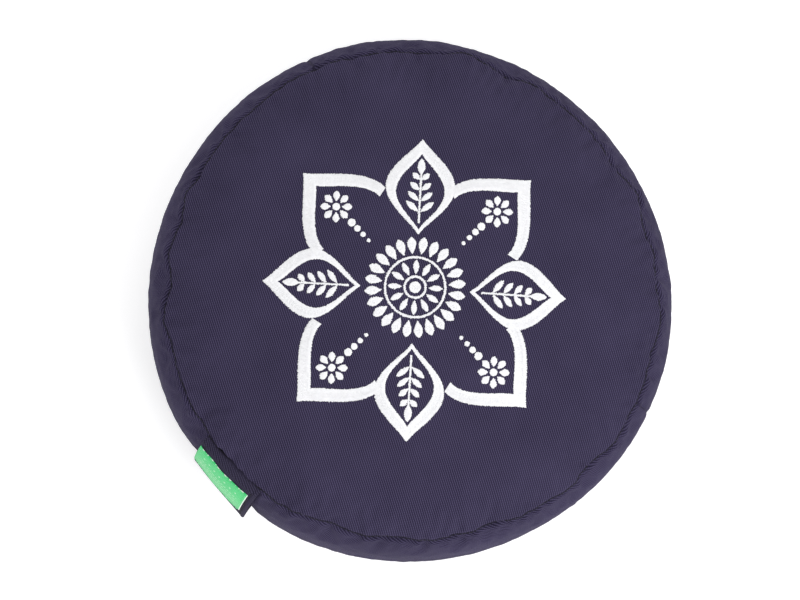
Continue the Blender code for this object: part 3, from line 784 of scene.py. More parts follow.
def smooth_line(points, count=RAIL_POINTS):
    """Evenly spaced points on a smooth curve through a few points (Catmull-Rom)."""
    points = np.asarray(points, dtype=float)
    if len(points) > 2:
        guides = np.vstack([2 * points[0] - points[1], points, 2 * points[-1] - points[-2]])
        t = np.linspace(0.0, 1.0, 12, endpoint=False)[:, None]
        pieces = []
        for a, b, c, d in zip(guides, guides[1:], guides[2:], guides[3:]):
            pieces.append(b + 0.5 * ((c - a) * t + (2 * a - 5 * b + 4 * c - d) * t ** 2
                                     + (3 * b - a - 3 * c + d) * t ** 3))
        points = np.vstack(pieces + [points[-1:]])
    run = np.r_[0.0, np.cumsum(np.linalg.norm(np.diff(points, axis=0), axis=1))]
    wanted = np.linspace(0.0, run[-1], count)
    return np.c_[np.interp(wanted, run, points[:, 0]), np.interp(wanted, run, points[:, 1])]


def column(first, second):
    """A satin column between two rails."""
    return smooth_line(first) * MM, smooth_line(second) * MM


def widened(line, half):
    """A column along a line, with its half width at every point."""
    middle = smooth_line(line)
    ahead = unit(np.gradient(middle, axis=0))
    side = np.c_[-ahead[:, 1], ahead[:, 0]] * np.broadcast_to(half, RAIL_POINTS)[:, None]
    return (middle + side) * MM, (middle - side) * MM


def band(line, width):
    """A column of even width."""
    return widened(line, width / 2.0)


def leaf(line, widest, peak=0.5):
    """A column that swells to its widest at peak and is pointed at both ends."""
    t = np.linspace(0.0, 1.0, RAIL_POINTS)
    return widened(line, widest / 2.0 * np.sin(np.pi * t ** (math.log(0.5) / math.log(peak))) ** 0.8)


def dot(u, v, radius):
    """A round dot."""
    t = np.linspace(-1.0, 1.0, RAIL_POINTS)
    return widened([(u - radius, v), (u + radius, v)], radius * np.sqrt(1.0 - t * t))


def arc(u, v, radius, start, stop, count=9):
    """Points on a circle about (u, v), from one angle to another in degrees."""
    turn = np.radians(np.linspace(start, stop, count))
    radius = np.broadcast_to(radius, count)
    return np.c_[u + radius * np.cos(turn), v + radius * np.sin(turn)]


def mirrored(columns):
    """The columns and their mirror images across the petal's axis."""
    flip = np.array([1.0, -1.0])
    return columns + [(second * flip, first * flip) for first, second in columns]


def turned(columns, degrees):
    """The columns turned round the middle of the cushion."""
    cos, sin = math.cos(math.radians(degrees)), math.sin(math.radians(degrees))
    turn = np.array([[cos, sin], [-sin, cos]])
    return [(first @ turn, second @ turn) for first, second in columns]


# %% The broad petal, filled with a plain fern
PETAL_FOOT, BROAD_TIP, BROAD_HALF = 33.0, 92.0, 21.0     # millimetres, as all sizes of the drawing
BORDER = 6.2                  # width of a petal's border
FERN_STEPS = 4


def petal_side(foot, tip, half, count=15):
    """One side of a pointed petal, from its foot to its tip."""
    t = np.linspace(0.0, 1.0, count)
    return np.c_[foot + (tip - foot) * t, half * np.sin(np.pi * t) ** 1.2]


fern = []
for step in range(FERN_STEPS):
    u = 47.0 + 6.6 * step
    reach = 8.4 - 1.1 * step
    fern.append(leaf([(u, 0.6), (u + 0.75 * reach, reach)], 3.4, 0.55))
broad_petal = mirrored([
    column(petal_side(PETAL_FOOT, BROAD_TIP, BROAD_HALF),
           petal_side(PETAL_FOOT + 3.0, BROAD_TIP - 9.0, BROAD_HALF - BORDER)),
] + fern) + [
    band([(40, 0), (74, 0)], 1.1),
    leaf([(70, 0), (80, 0)], 4.6, 0.5),
]

# %% The narrow petal, filled with a plain daisy
NARROW_TIP = 98.0
MEETS_BROAD = (57.0, 29.6)    # where its border runs under the broad petal's
DAISY_AT, DAISY_LEAVES = 69.0, 8


def corner_side(tip, end, count=15):
    """One side of the corner that shows between two broad petals, from its tip inwards."""
    t = np.linspace(0.0, 1.0, count)
    return np.c_[tip + (end[0] - tip) * t, end[1] * np.sin(0.5 * np.pi * t) ** 1.15]


daisy = [dot(DAISY_AT, 0.0, 2.2)]
for i in range(DAISY_LEAVES):
    turn = 2.0 * math.pi * i / DAISY_LEAVES
    cos, sin = math.cos(turn), math.sin(turn)
    daisy.append(leaf([(DAISY_AT + 3.2 * cos, 3.2 * sin), (DAISY_AT + 9.6 * cos, 9.6 * sin)], 4.0, 0.6))
narrow_petal = mirrored([
    column(corner_side(NARROW_TIP, MEETS_BROAD),
           corner_side(NARROW_TIP - 11.0, (MEETS_BROAD[0] - 1.5, MEETS_BROAD[1] - BORDER))),
]) + daisy + [dot(55.5 - 5.0 * i, 0.0, 2.3 - 0.4 * i) for i in range(4)]

# %% The middle: rings of leaves and dots round a disc
middle = [dot(0.0, 0.0, 3.4), band(arc(0.0, 0.0, 6.4, 0, 360, 25), 1.3),
          band(arc(0.0, 0.0, 18.2, 0, 360, 49), 1.3)]
for i in range(12):
    middle += turned([leaf([(8.0, 0.0), (16.6, 0.0)], 3.4, 0.55)], 30.0 * i)
for i in range(24):
    middle += turned([leaf([(20.0, 0.0), (30.6, 0.0)], 5.2, 0.6)], 15.0 * i + 7.5)

NARROW_TURN = -0.5            # degrees, from +X to the first narrow petal
BROAD_TURN = 42.8             # and to the first broad one: the hoop pulled the cloth a little
CREEP = np.array([-0.7, 0.7]) * MM   # the cloth crept under the hoop before the middle was sewn
rosette = {"embroidery_broad_petals": [], "embroidery_narrow_petals": [], "embroidery_middle": []}
for quarter in range(4):
    narrow, broad = NARROW_TURN + 90.0 * quarter, BROAD_TURN + 90.0 * quarter
    rosette["embroidery_narrow_petals"] += turned(narrow_petal, narrow)
    rosette["embroidery_broad_petals"] += turned(broad_petal, broad)
rosette["embroidery_middle"] += turned(middle, BROAD_TURN)
rosette["embroidery_middle"] = [(a + CREEP, b + CREEP) for a, b in rosette["embroidery_middle"]]
print("satin columns:", {name: len(columns) for name, columns in rosette.items()})

# %% Stitches from rail to rail
STITCH_GAP = 0.42 * MM        # from one stitch to the next
LONGEST_STITCH = 4.4 * MM     # a longer one is split
RAGGED = 0.15 * MM            # how unevenly the needle meets an edge
STAGGER = (0.0, 0.36, -0.30, 0.14, -0.18)
on_cloth = BVHTree.FromPolygons([v.co.copy() for v in cover.data.vertices],
                                [tuple(p.vertices) for p in cover.data.polygons])


def cloth_z(x, y):
    """Height of the cloth's top at (x, y)."""
    return on_cloth.ray_cast(Vector((x, y, 1.0)), Vector((0.0, 0.0, -1.0)))[0].z


def rail_at(rail, t):
    """Points of a rail at fractions t of its length."""
    place = t * (len(rail) - 1)
    steps = np.arange(len(rail))
    return np.c_[np.interp(place, steps, rail[:, 0]), np.interp(place, steps, rail[:, 1])]


def stitches_of(columns, rng):
    """Every stitch of the columns as (x, y) pairs: an array (stitches, 2, 2)."""
    made = []
    for first, second in columns:
        lengths = [np.linalg.norm(np.diff(rail, axis=0), axis=1).sum() for rail in (first, second)]
        number = max(3, int(round(0.5 * sum(lengths) / STITCH_GAP)))
        t = (np.arange(number) + 0.5) / number
        for i, (start, end) in enumerate(zip(rail_at(first, t), rail_at(second, t))):
            width = math.dist(start, end)
            if width < 0.2 * MM:
                continue
            ahead = (end - start) / width
            start = start - ahead * rng.normal(0.0, RAGGED)
            end = end + ahead * rng.normal(0.0, RAGGED)
            parts = math.ceil(width / LONGEST_STITCH)
            cuts = np.linspace(0.0, 1.0, parts + 1)
            cuts[1:-1] += STAGGER[i % len(STAGGER)] / parts
            for low, high in zip(cuts, cuts[1:]):
                made.append((start + (end - start) * low, start + (end - start) * high))
    return np.array(made)


rng = np.random.default_rng(SEED)
rosette_stitches = {name: stitches_of(columns, rng) for name, columns in rosette.items()}
print("stitches:", {name: len(made) for name, made in rosette_stitches.items()})

# %% [markdown]
# Geometry Nodes turn the stitch plan into thread: every edge becomes a curve, its middle is
# lifted off the cloth, and a small round profile follows it. The same tree makes the seam
# and hem stitches later, so the direction of the lift is an attribute of the plan.

# %% The thread tree
def thread_material(name, colour, roughness, sheen):
    """Twisted thread: fine slanted plies along it, and small changes of tone."""
    made, nodes, links, shader = node_material(name)
    where = nodes.new("ShaderNodeTexCoord").outputs["Object"]
    along = nodes.new("ShaderNodeAttribute")
    along.attribute_name = "along"
    m = math_of(nodes, links)
    ply = m("MULTIPLY", along.outputs["Fac"], 2.0 * math.pi / (0.9 * MM))
    ply = m("MULTIPLY_ADD", noise(nodes, links, where, 900.0), 5.0, ply)
    ply = m("MULTIPLY_ADD", m("SINE", ply), 0.5, 0.5)
    tone = m("MULTIPLY_ADD", ply, 0.25, noise(nodes, links, where, 420.0, 3.0, 0.6))
    darker = tuple(0.80 * c for c in colour)
    links.new(colour_mix(nodes, links, tone, darker, colour), shader.inputs["Base Color"])
    links.new(bump(nodes, links, ply, 0.05 * MM, 0.6), shader.inputs["Normal"])
    shader.inputs["Roughness"].default_value = roughness
    shader.inputs["Specular IOR Level"].default_value = 0.4
    shader.inputs["Sheen Weight"].default_value = sheen
    return made


def tree_link(tree, node, sockets):
    """Link or set a node's inputs by name; gives the node."""
    for name, value in sockets.items():
        if isinstance(value, bpy.types.NodeSocket):
            tree.links.new(value, node.inputs[name])
        else:
            node.inputs[name].default_value = value
    return node


def tree_math(tree, operation, first, second):
    """A Math node in a geometry tree; gives its output socket."""
    node = tree.nodes.new("ShaderNodeMath")
    node.operation = operation
    return tree_link(tree, node, {0: first, 1: second}).outputs[0]


def start_tree(name, inputs):
    """A geometry tree with a geometry input and output and named number inputs."""
    tree = bpy.data.node_groups.new(name, "GeometryNodeTree")
    tree.interface.new_socket("Geometry", in_out="INPUT", socket_type="NodeSocketGeometry")
    tree.interface.new_socket("Geometry", in_out="OUTPUT", socket_type="NodeSocketGeometry")
    for label, value in inputs.items():
        kind = "NodeSocketInt" if isinstance(value, int) else "NodeSocketFloat"
        tree.interface.new_socket(label, in_out="INPUT", socket_type=kind).default_value = value
    return tree, tree.nodes.new("NodeGroupInput").outputs


def end_tree(tree, geometry, material):
    """Realize the instances, set the material and send the geometry out."""
    real = tree_link(tree, tree.nodes.new("GeometryNodeRealizeInstances"), {"Geometry": geometry})
    painted = tree_link(tree, tree.nodes.new("GeometryNodeSetMaterial"),
                        {"Geometry": real.outputs[0], "Material": material})
    out = tree.nodes.new("NodeGroupOutput")
    tree.links.new(painted.outputs[0], out.inputs[0])


def thread_tree(material):
    """Edges to thread: lift the middle of each along "up", then sweep a round profile."""
    tree, given = start_tree("thread_on_edges", {"Thread radius": 0.25 * MM, "Lift share": 0.12,
                                                 "Most lift": 0.4 * MM, "Points": 4, "Sides": 4})
    curve = tree_link(tree, tree.nodes.new("GeometryNodeMeshToCurve"), {"Mesh": given["Geometry"]})
    finer = tree_link(tree, tree.nodes.new("GeometryNodeResampleCurve"),
                      {"Curve": curve.outputs[0], "Count": given["Points"]})
    along = tree.nodes.new("GeometryNodeSplineParameter").outputs
    length = tree.nodes.new("GeometryNodeSplineLength").outputs["Length"]
    lift = tree_math(tree, "MINIMUM", tree_math(tree, "MULTIPLY", length, given["Lift share"]),
                     given["Most lift"])
    hump = tree_math(tree, "SUBTRACT", 1.0, along["Factor"])
    hump = tree_math(tree, "MULTIPLY", tree_math(tree, "MULTIPLY", hump, along["Factor"]), 4.0)
    up = tree.nodes.new("GeometryNodeInputNamedAttribute")
    up.data_type = "FLOAT_VECTOR"
    up.inputs["Name"].default_value = "up"
    scaled = tree.nodes.new("ShaderNodeVectorMath")
    scaled.operation = "SCALE"
    tree_link(tree, scaled, {0: up.outputs["Attribute"], "Scale": tree_math(tree, "MULTIPLY", lift, hump)})
    lifted = tree_link(tree, tree.nodes.new("GeometryNodeSetPosition"),
                       {"Geometry": finer.outputs[0], "Offset": scaled.outputs[0]})
    stored = tree.nodes.new("GeometryNodeStoreNamedAttribute")
    tree_link(tree, stored, {"Geometry": lifted.outputs[0], "Name": "along", "Value": along["Length"]})
    profile = tree_link(tree, tree.nodes.new("GeometryNodeCurvePrimitiveCircle"),
                        {"Resolution": given["Sides"], "Radius": given["Thread radius"]})
    swept = tree_link(tree, tree.nodes.new("GeometryNodeCurveToMesh"),
                      {"Curve": stored.outputs[0], "Profile Curve": profile.outputs[0], "Fill Caps": True})
    smooth = tree_link(tree, tree.nodes.new("GeometryNodeSetShadeSmooth"), {"Geometry": swept.outputs[0]})
    end_tree(tree, smooth.outputs[0], material)
    return tree


def grow(plan, tree, name, **values):
    """Run a tree on a plan mesh; gives a plain object with the result, the plan removed."""
    holder = new_object(name + "_plan", plan)
    modifier = holder.modifiers.new("grow", "NODES")
    modifier.node_group = tree
    for item in tree.interface.items_tree:
        key = item.name.replace(" ", "_").lower()
        if item.in_out == "INPUT" and key in values:
            modifier[item.identifier] = values[key]
    mesh = bpy.data.meshes.new_from_object(
        holder.evaluated_get(bpy.context.evaluated_depsgraph_get()))
    bpy.data.objects.remove(holder, do_unlink=True)
    mesh.name = name
    return new_object(name, mesh)


def edge_plan(name, pairs, up):
    """A mesh of separate edges, with the direction of their lift on every point."""
    pairs = np.asarray(pairs).reshape(-1, 3)
    plan = bpy.data.meshes.new(name)
    plan.from_pydata(pairs.tolist(), [(2 * i, 2 * i + 1) for i in range(len(pairs) // 2)], [])
    lift = plan.attributes.new("up", "FLOAT_VECTOR", "POINT")
    lift.data.foreach_set("vector", np.broadcast_to(up, pairs.shape).astype(np.float32).ravel())
    return plan


WHITE_THREAD = thread_material("satin_thread", (0.93, 0.93, 0.95), 0.5, 0.25)
WHITE_STITCH = thread_tree(WHITE_THREAD)
print("tree inputs:", [i.name for i in WHITE_STITCH.interface.items_tree if i.in_out == "INPUT"])

# %% [markdown]
# Under the satin lies an underlay that lifts it. It is a low ridge along each column: a
# closed strip with a flat underside just inside the cloth and a crest in the middle.

# %% Stitch the rosette
SINK = 0.05 * MM              # the thread's ends go this far into the cloth
CREST = 0.26 * MM             # height of the underlay
EDGE_IN = 0.12                # share of the width that the underlay leaves free at each edge
UNDERLAY_STEP = 1.3 * MM


def underlay_of(columns):
    """Closed three-sided strips under the columns: (points, faces)."""
    points, faces = [], []
    for first, second in columns:
        length = np.linalg.norm(np.diff(first + second, axis=0), axis=1).sum() / 2.0
        count = max(3, int(length / UNDERLAY_STEP) + 1)
        t = np.linspace(0.03, 0.97, count)
        base = len(points)
        for a, b in zip(rail_at(first, t), rail_at(second, t)):
            for share, rise in ((EDGE_IN, -SINK), (0.5, CREST), (1.0 - EDGE_IN, -SINK)):
                x, y = a + (b - a) * share
                points.append((x, y, cloth_z(x, y) + rise))
        for i in range(count - 1):
            row, after = base + 3 * i, base + 3 * i + 3
            for k in range(3):
                n = (k + 1) % 3
                faces.append((row + k, row + n, after + n, after + k))
        faces.append((base + 2, base + 1, base))
        last = base + 3 * (count - 1)
        faces.append((last, last + 1, last + 2))
    return points, faces


def stitch_piece(name, columns, pairs):
    """One piece of embroidery: thread from the tree, and the underlay under it."""
    ends = [(x, y, cloth_z(x, y) + 0.12 * MM) for pair in pairs for x, y in pair]
    thread = grow(edge_plan(name, ends, (0.0, 0.0, 1.0)), WHITE_STITCH, name)
    points, faces = underlay_of(columns)
    under = bpy.data.meshes.new(name + "_underlay")
    under.from_pydata(points, [], faces)
    bm = bmesh.new()
    bm.from_mesh(under)
    bmesh.ops.recalc_face_normals(bm, faces=bm.faces)
    bm.from_mesh(thread.data)
    bm.to_mesh(thread.data)
    bm.free()
    bpy.data.meshes.remove(under)
    print(name, len(pairs), "stitches,",
          sum(len(p.vertices) - 2 for p in thread.data.polygons), "triangles")
    return thread


for name, columns in rosette.items():
    piece = stitch_piece(name, columns, rosette_stitches[name])
    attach(piece, "cushion")
    if name == "embroidery_middle":
        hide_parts("embroidered_centre")
    elif name == "embroidery_broad_petals":
        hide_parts("embroidered_petals")

# %% [markdown]
# ## Seam stitches
# The panels are sewn together from inside, and a dark lockstitch shows at the bottom of the
# seam's groove as a row of short bars. A running stitch is a path cut into even edges, so
# one helper plans every seam, hem and topstitch, and the thread tree makes the thread.

# %% Running stitches
def running_stitches(path, outward, pitch, share=0.76):
    """Edges along a path, one each pitch and a share of it long, with their outward lift."""
    path, outward = np.asarray(path), np.asarray(outward)
    run = np.r_[0.0, np.cumsum(np.linalg.norm(np.diff(path, axis=0), axis=1))]
    number = max(1, int(run[-1] / pitch))
    starts = np.arange(number) * run[-1] / number
    wanted = np.c_[starts, starts + pitch * share].ravel()
    points = np.stack([np.interp(wanted, run, path[:, k]) for k in range(3)], axis=1)
    lift = unit(np.stack([np.interp(wanted, run, outward[:, k]) for k in range(3)], axis=1))
    return points, lift


def sewn(name, rows, tree, **sizes):
    """One piece of thread from several rows of (points, lift)."""
    points = np.vstack([row[0] for row in rows])
    return grow(edge_plan(name, points, np.vstack([row[1] for row in rows])), tree, name, **sizes)


def closed(ring):
    """A ring with its first point again at the end."""
    return np.vstack([ring, ring[:1]])


NAVY_THREAD = thread_material("seam_thread", (0.007, 0.006, 0.012), 0.8, 0.05)
NAVY_STITCH = thread_tree(NAVY_THREAD)
SEAM_PITCH = 2.3 * MM
for word, panel, seam_row in (("top", "top", -1), ("bottom", "base", 0)):
    ring, into = panels[panel]["points"][seam_row], seam_in[panel]
    row = running_stitches(closed(ring + into * 0.20 * MM), closed(into), SEAM_PITCH)
    piece = sewn(f"seam_stitches_{word}", [row], NAVY_STITCH, thread_radius=0.26 * MM,
                 most_lift=0.25 * MM)
    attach(piece, "cushion")
    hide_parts(f"{word}_seam_thread")
    print(piece.name, len(row[0]) // 2, "stitches")

# %% [markdown]
# Two rows of topstitching hold the folded edges of the strips beside the zip. They follow
# the pressed line that the cover already has there.

# %% Topstitching beside the zip
def zip_topstitch():
    """A row of stitches on the pressed line at each side of the zip."""
    points = panels["band"]["points"]
    facing = grid_normals(points)
    columns = slice(int(ZIP_FROM / (2 * math.pi) * AROUND) + 4, int(ZIP_TO / (2 * math.pi) * AROUND) - 4)
    rows = []
    for side in (-TOPSTITCH, TOPSTITCH):
        row = int(np.argmin(np.abs(panels["band"]["run"] - panels["band"]["zip_run"] - side)))
        path = points[row, columns] + facing[row, columns] * 0.16 * MM
        rows.append(running_stitches(path, facing[row, columns], 2.9 * MM, 0.8))
    return sewn("zip_topstitching", rows, NAVY_STITCH, thread_radius=0.22 * MM, most_lift=0.2 * MM)


topstitching = zip_topstitch()
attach(topstitching, "cushion")
print("topstitching:", len(topstitching.data.polygons), "faces")

# %% [markdown]
# ## The carry strap
# The strap is a tube of the same twill, turned and pressed flat, stitched along both edges
# and caught in both seams; its twill is a darker copy, painted shade for the shadow it lies in.
# It is stiff enough to bow out from the band, and that bow is the gap for the fingers. It is a
# surface over two numbers: how far across, and how far along the bow. A flat strap is modelled
# directly, because a remesh would erase its edges.

# %% The strap's bow
strap_low, strap_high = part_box("carry_strap")
STRAP_HALF = strap_high[0]
STRAP_THICK = 1.8 * MM
STRAP_REACH = -strap_low[1] - STRAP_THICK
STRAP_TOP_Z, STRAP_FOOT_Z = strap_high[2], strap_low[2]
STRAP_ALONG = 96
STRAP_EDGE = np.array([0.0, 0.08, 0.25, 0.55, 1.0, 1.6, 2.3, 2.9, 3.3, 3.7, 4.4, 6.0]) * MM
HEM_IN = 3.3 * MM             # from the strap's edge to its stitching
SPREAD = 2.2 * MM             # the +X edge bows out this much more than the middle
DRIFT = 2.4 * MM              # its middle has moved this far towards +X
PRESSED = 4.0 * MM            # the worn strap lies this much closer to the band than it could


def strap_bow():
    """Side view of the strap's middle: points (out, z) and their outward directions."""
    middle, half = (STRAP_TOP_Z + STRAP_FOOT_Z) / 2.0, (STRAP_TOP_Z - STRAP_FOOT_Z) / 2.0
    clear = STRAP_REACH - BULGE_R - PRESSED
    line = [(SEAM_R - 1.4 * MM, TOP_SEAM_Z - 0.6 * MM)]
    for away in np.cos(np.linspace(0.0, np.pi, 61)):
        z = middle + half * away
        line.append((band_radius(z) + clear * (1.0 - away ** 2) + STRAP_THICK / 2.0, z))
    line.append((LOW_SEAM_R - 1.4 * MM, LOW_SEAM_Z + 0.4 * MM))
    line = smooth_line(line, STRAP_ALONG)
    ahead = unit(np.gradient(line, axis=0))
    return line, np.c_[-ahead[:, 1], ahead[:, 0]]


bow, bow_out = strap_bow()
bow_run = np.r_[0.0, np.cumsum(np.linalg.norm(np.diff(bow, axis=0), axis=1))]
STRAP_LENGTH = bow_run[-1]


def strap_point(across, along, lift):
    """A point on the strap: across from its middle, along the bow from the top, lifted."""
    share = along / STRAP_LENGTH
    out, z = (np.interp(along, bow_run, bow[:, k]) for k in (0, 1))
    away_out, away_z = (np.interp(along, bow_run, bow_out[:, k]) for k in (0, 1))
    loose = np.sin(np.pi * np.clip(share, 0.0, 1.0)) ** 1.4
    wave = 0.35 * MM * np.sin(7.0 * share + 2.1 * across / STRAP_HALF)
    lift = lift + (SPREAD * across / STRAP_HALF + wave) * loose
    rounded = (SEAM_R - np.sqrt(SEAM_R ** 2 - across ** 2)) * (1.0 - 0.6 * loose)
    aside = across * (1.0 - 0.03 * (1.0 - loose)) + DRIFT * loose
    points = np.stack([aside, -(out - rounded + away_out * lift), z + away_z * lift], axis=-1)
    return worn(points, behind_strap=False)


print("strap:", round(2000 * STRAP_HALF, 1), "mm wide,", round(1000 * STRAP_LENGTH, 1), "mm along the bow")


# %% Build the strap
def build_strap():
    """Closed strap: an outer and an inner face that meet in rounded edges."""
    flat = np.linspace(STRAP_EDGE[-1], 2 * STRAP_HALF - STRAP_EDGE[-1], 13)[1:-1]
    edge = np.concatenate([STRAP_EDGE, flat, 2 * STRAP_HALF - STRAP_EDGE[::-1]])
    near = np.minimum(edge, 2 * STRAP_HALF - edge)
    half = STRAP_THICK / 2.0 * np.sqrt(1.0 - np.clip(1.0 - near / (1.0 * MM), 0.0, 1.0) ** 2)
    half = half + 0.22 * MM * np.exp(-((near - 1.6 * MM) / (0.9 * MM)) ** 2)
    half = half - 0.26 * MM * np.exp(-((near - HEM_IN) / (0.45 * MM)) ** 2)
    across = edge - STRAP_HALF
    loop_across = np.r_[across, across[-2:0:-1]]
    loop_lift = np.r_[half, -half[-2:0:-1]]
    around = len(loop_across)
    bm = bmesh.new()
    uv_layer = bm.loops.layers.uv.new("cloth")
    rows = []
    for along in bow_run:
        rows.append([bm.verts.new(p) for p in strap_point(loop_across, np.full(around, along), loop_lift)])
    for i in range(STRAP_ALONG - 1):
        for j in range(around):
            k = (j + 1) % around
            face = bm.faces.new((rows[i][j], rows[i + 1][j], rows[i + 1][k], rows[i][k]))
            spots = ((i, j), (i + 1, j), (i + 1, k), (i, k))
            for loop, (row, col) in zip(face.loops, spots):
                loop[uv_layer].uv = (loop_across[col] + 0.5, -bow_run[row])
    bm.faces.new(rows[0])
    bm.faces.new(rows[-1][::-1])
    if bm.calc_volume(signed=True) < 0.0:
        bmesh.ops.reverse_faces(bm, faces=bm.faces)
    mesh = bpy.data.meshes.new("strap_cloth")
    bm.to_mesh(mesh)
    bm.free()
    mesh.shade_smooth()
    # the darker twill: painted shade on the strap
    mesh.materials.append(SHADED_NAVY)
    return new_object("strap_cloth", mesh)


strap = build_strap()
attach(strap, "cushion")
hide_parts("carry_strap")

hems = []
for side in (-1.0, 1.0):
    across = np.full(STRAP_ALONG, side * (STRAP_HALF - HEM_IN))
    for face in (1.0, -1.0):
        path = strap_point(across, bow_run, face * (STRAP_THICK / 2.0 - 0.12 * MM))[5:-5]
        lift = unit(strap_point(across, bow_run, face * 1.0)[5:-5] - path)
        hems.append(running_stitches(path, lift, 2.8 * MM, 0.8))
strap_stitches = sewn("strap_stitches", hems, NAVY_STITCH, thread_radius=0.22 * MM, most_lift=0.2 * MM)
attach(strap_stitches, "cushion")
print("strap faces:", len(strap.data.polygons), "hem rows:", len(hems))

# %% [markdown]
# ## The label
# A woven satin label is sewn on the strap's outer face, nearer to one edge. Its threads run
# across, its right edge is pale, painted glints of light sit on its top edge, and it carries a
# row of small diamonds and three dashed lines: a pattern, with no letters and no mark. The
# pattern is worked out from the label's own UV, which is in metres from its top left corner.

# %% Label material
label_low, label_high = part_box("strap_label")
LABEL_WIDE = label_high[0] - label_low[0]
LABEL_FROM = label_low[0]
LABEL_TOP = float(np.interp(-label_high[2], -bow[:, 1], bow_run))
LABEL_TALL = float(np.interp(-label_low[2], -bow[:, 1], bow_run)) - LABEL_TOP


def label_material():
    """Green woven satin with a pale right edge, painted glints on its top edge, small diamonds and dashed
    lines.
    """
    made, nodes, links, shader = node_material("label_satin")
    uv = nodes.new("ShaderNodeUVMap")
    uv.uv_map = "label"
    split = nodes.new("ShaderNodeSeparateXYZ")
    links.new(uv.outputs["UV"], split.inputs[0])
    x, y = split.outputs[0], split.outputs[1]

    m = math_of(nodes, links)

    def within(value, centre, half):
        return m("LESS_THAN", m("ABSOLUTE", m("SUBTRACT", value, centre)), half)

    def wave(value, pitch):
        return m("MULTIPLY_ADD", wave_of(m, value, pitch), 0.5, 0.5)

    from_side = m("SUBTRACT", LABEL_WIDE / 2.0, m("ABSOLUTE", m("SUBTRACT", x, LABEL_WIDE / 2.0)))
    cell = m("SUBTRACT", m("FRACT", m("DIVIDE", x, LABEL_WIDE / 9.0)), 0.5)
    reach = m("ADD", m("MULTIPLY", m("ABSOLUTE", cell), LABEL_WIDE / 9.0),
              m("ABSOLUTE", m("SUBTRACT", y, 7.5 * MM)))
    inside = m("GREATER_THAN", from_side, 5.0 * MM)
    motif = m("MULTIPLY", m("LESS_THAN", reach, 0.9 * MM), inside)
    for place, pitch in ((13.0, 2.6), (16.6, 3.4), (20.2, 2.2)):
        dashes = m("GREATER_THAN", m("FRACT", m("DIVIDE", x, pitch * MM)), 0.38)
        line = m("MULTIPLY", within(y, place * MM, 0.36 * MM), dashes)
        motif = m("MAXIMUM", motif, m("MULTIPLY", line, inside))
    lower = m("MAXIMUM", m("MULTIPLY_ADD", y, 95.0, -0.85), 0.0)
    lower = m("MULTIPLY", m("SMOOTH_MIN", lower, 1.0, 0.2), 0.34)
    # painted highlight: small glints of light along the label's top edge
    glint = m("GREATER_THAN", noise(nodes, links, uv.outputs["UV"], 480.0, 1.0), 0.52)
    top_edge_glints = m("MULTIPLY", m("LESS_THAN", y, 0.5 * MM), glint)
    edge = m("MAXIMUM", top_edge_glints, m("GREATER_THAN", x, LABEL_WIDE - 0.5 * MM))

    weft = wave(y, 0.42 * MM)
    warp = wave(m("ADD", x, m("MULTIPLY", y, 0.5)), 0.36 * MM)
    weave = m("MULTIPLY", weft, m("MULTIPLY_ADD", warp, 0.5, 0.5))
    green = colour_mix(nodes, links, weave, (0.014, 0.46, 0.110), (0.060, 0.80, 0.260))
    paler = colour_mix(nodes, links, lower, green, (0.20, 0.62, 0.28))
    white = colour_mix(nodes, links, m("MULTIPLY", motif, 0.45), paler, (0.80, 0.88, 0.78))
    # the pale right edge and the painted glints of the top edge, in one pale colour
    links.new(colour_mix(nodes, links, m("MULTIPLY", edge, 0.85), white, (0.90, 0.95, 0.90)),
              shader.inputs["Base Color"])
    raised = m("MULTIPLY_ADD", motif, 0.6, weave)
    links.new(bump(nodes, links, raised, 0.10 * MM, 0.7), shader.inputs["Normal"])
    shader.inputs["Roughness"].default_value = 0.55
    shader.inputs["Specular IOR Level"].default_value = 0.4
    shader.inputs["Sheen Weight"].default_value = 0.15
    return made


GREEN = label_material()
print("label:", round(LABEL_WIDE * 1000, 1), "x", round(LABEL_TALL * 1000, 1), "mm")


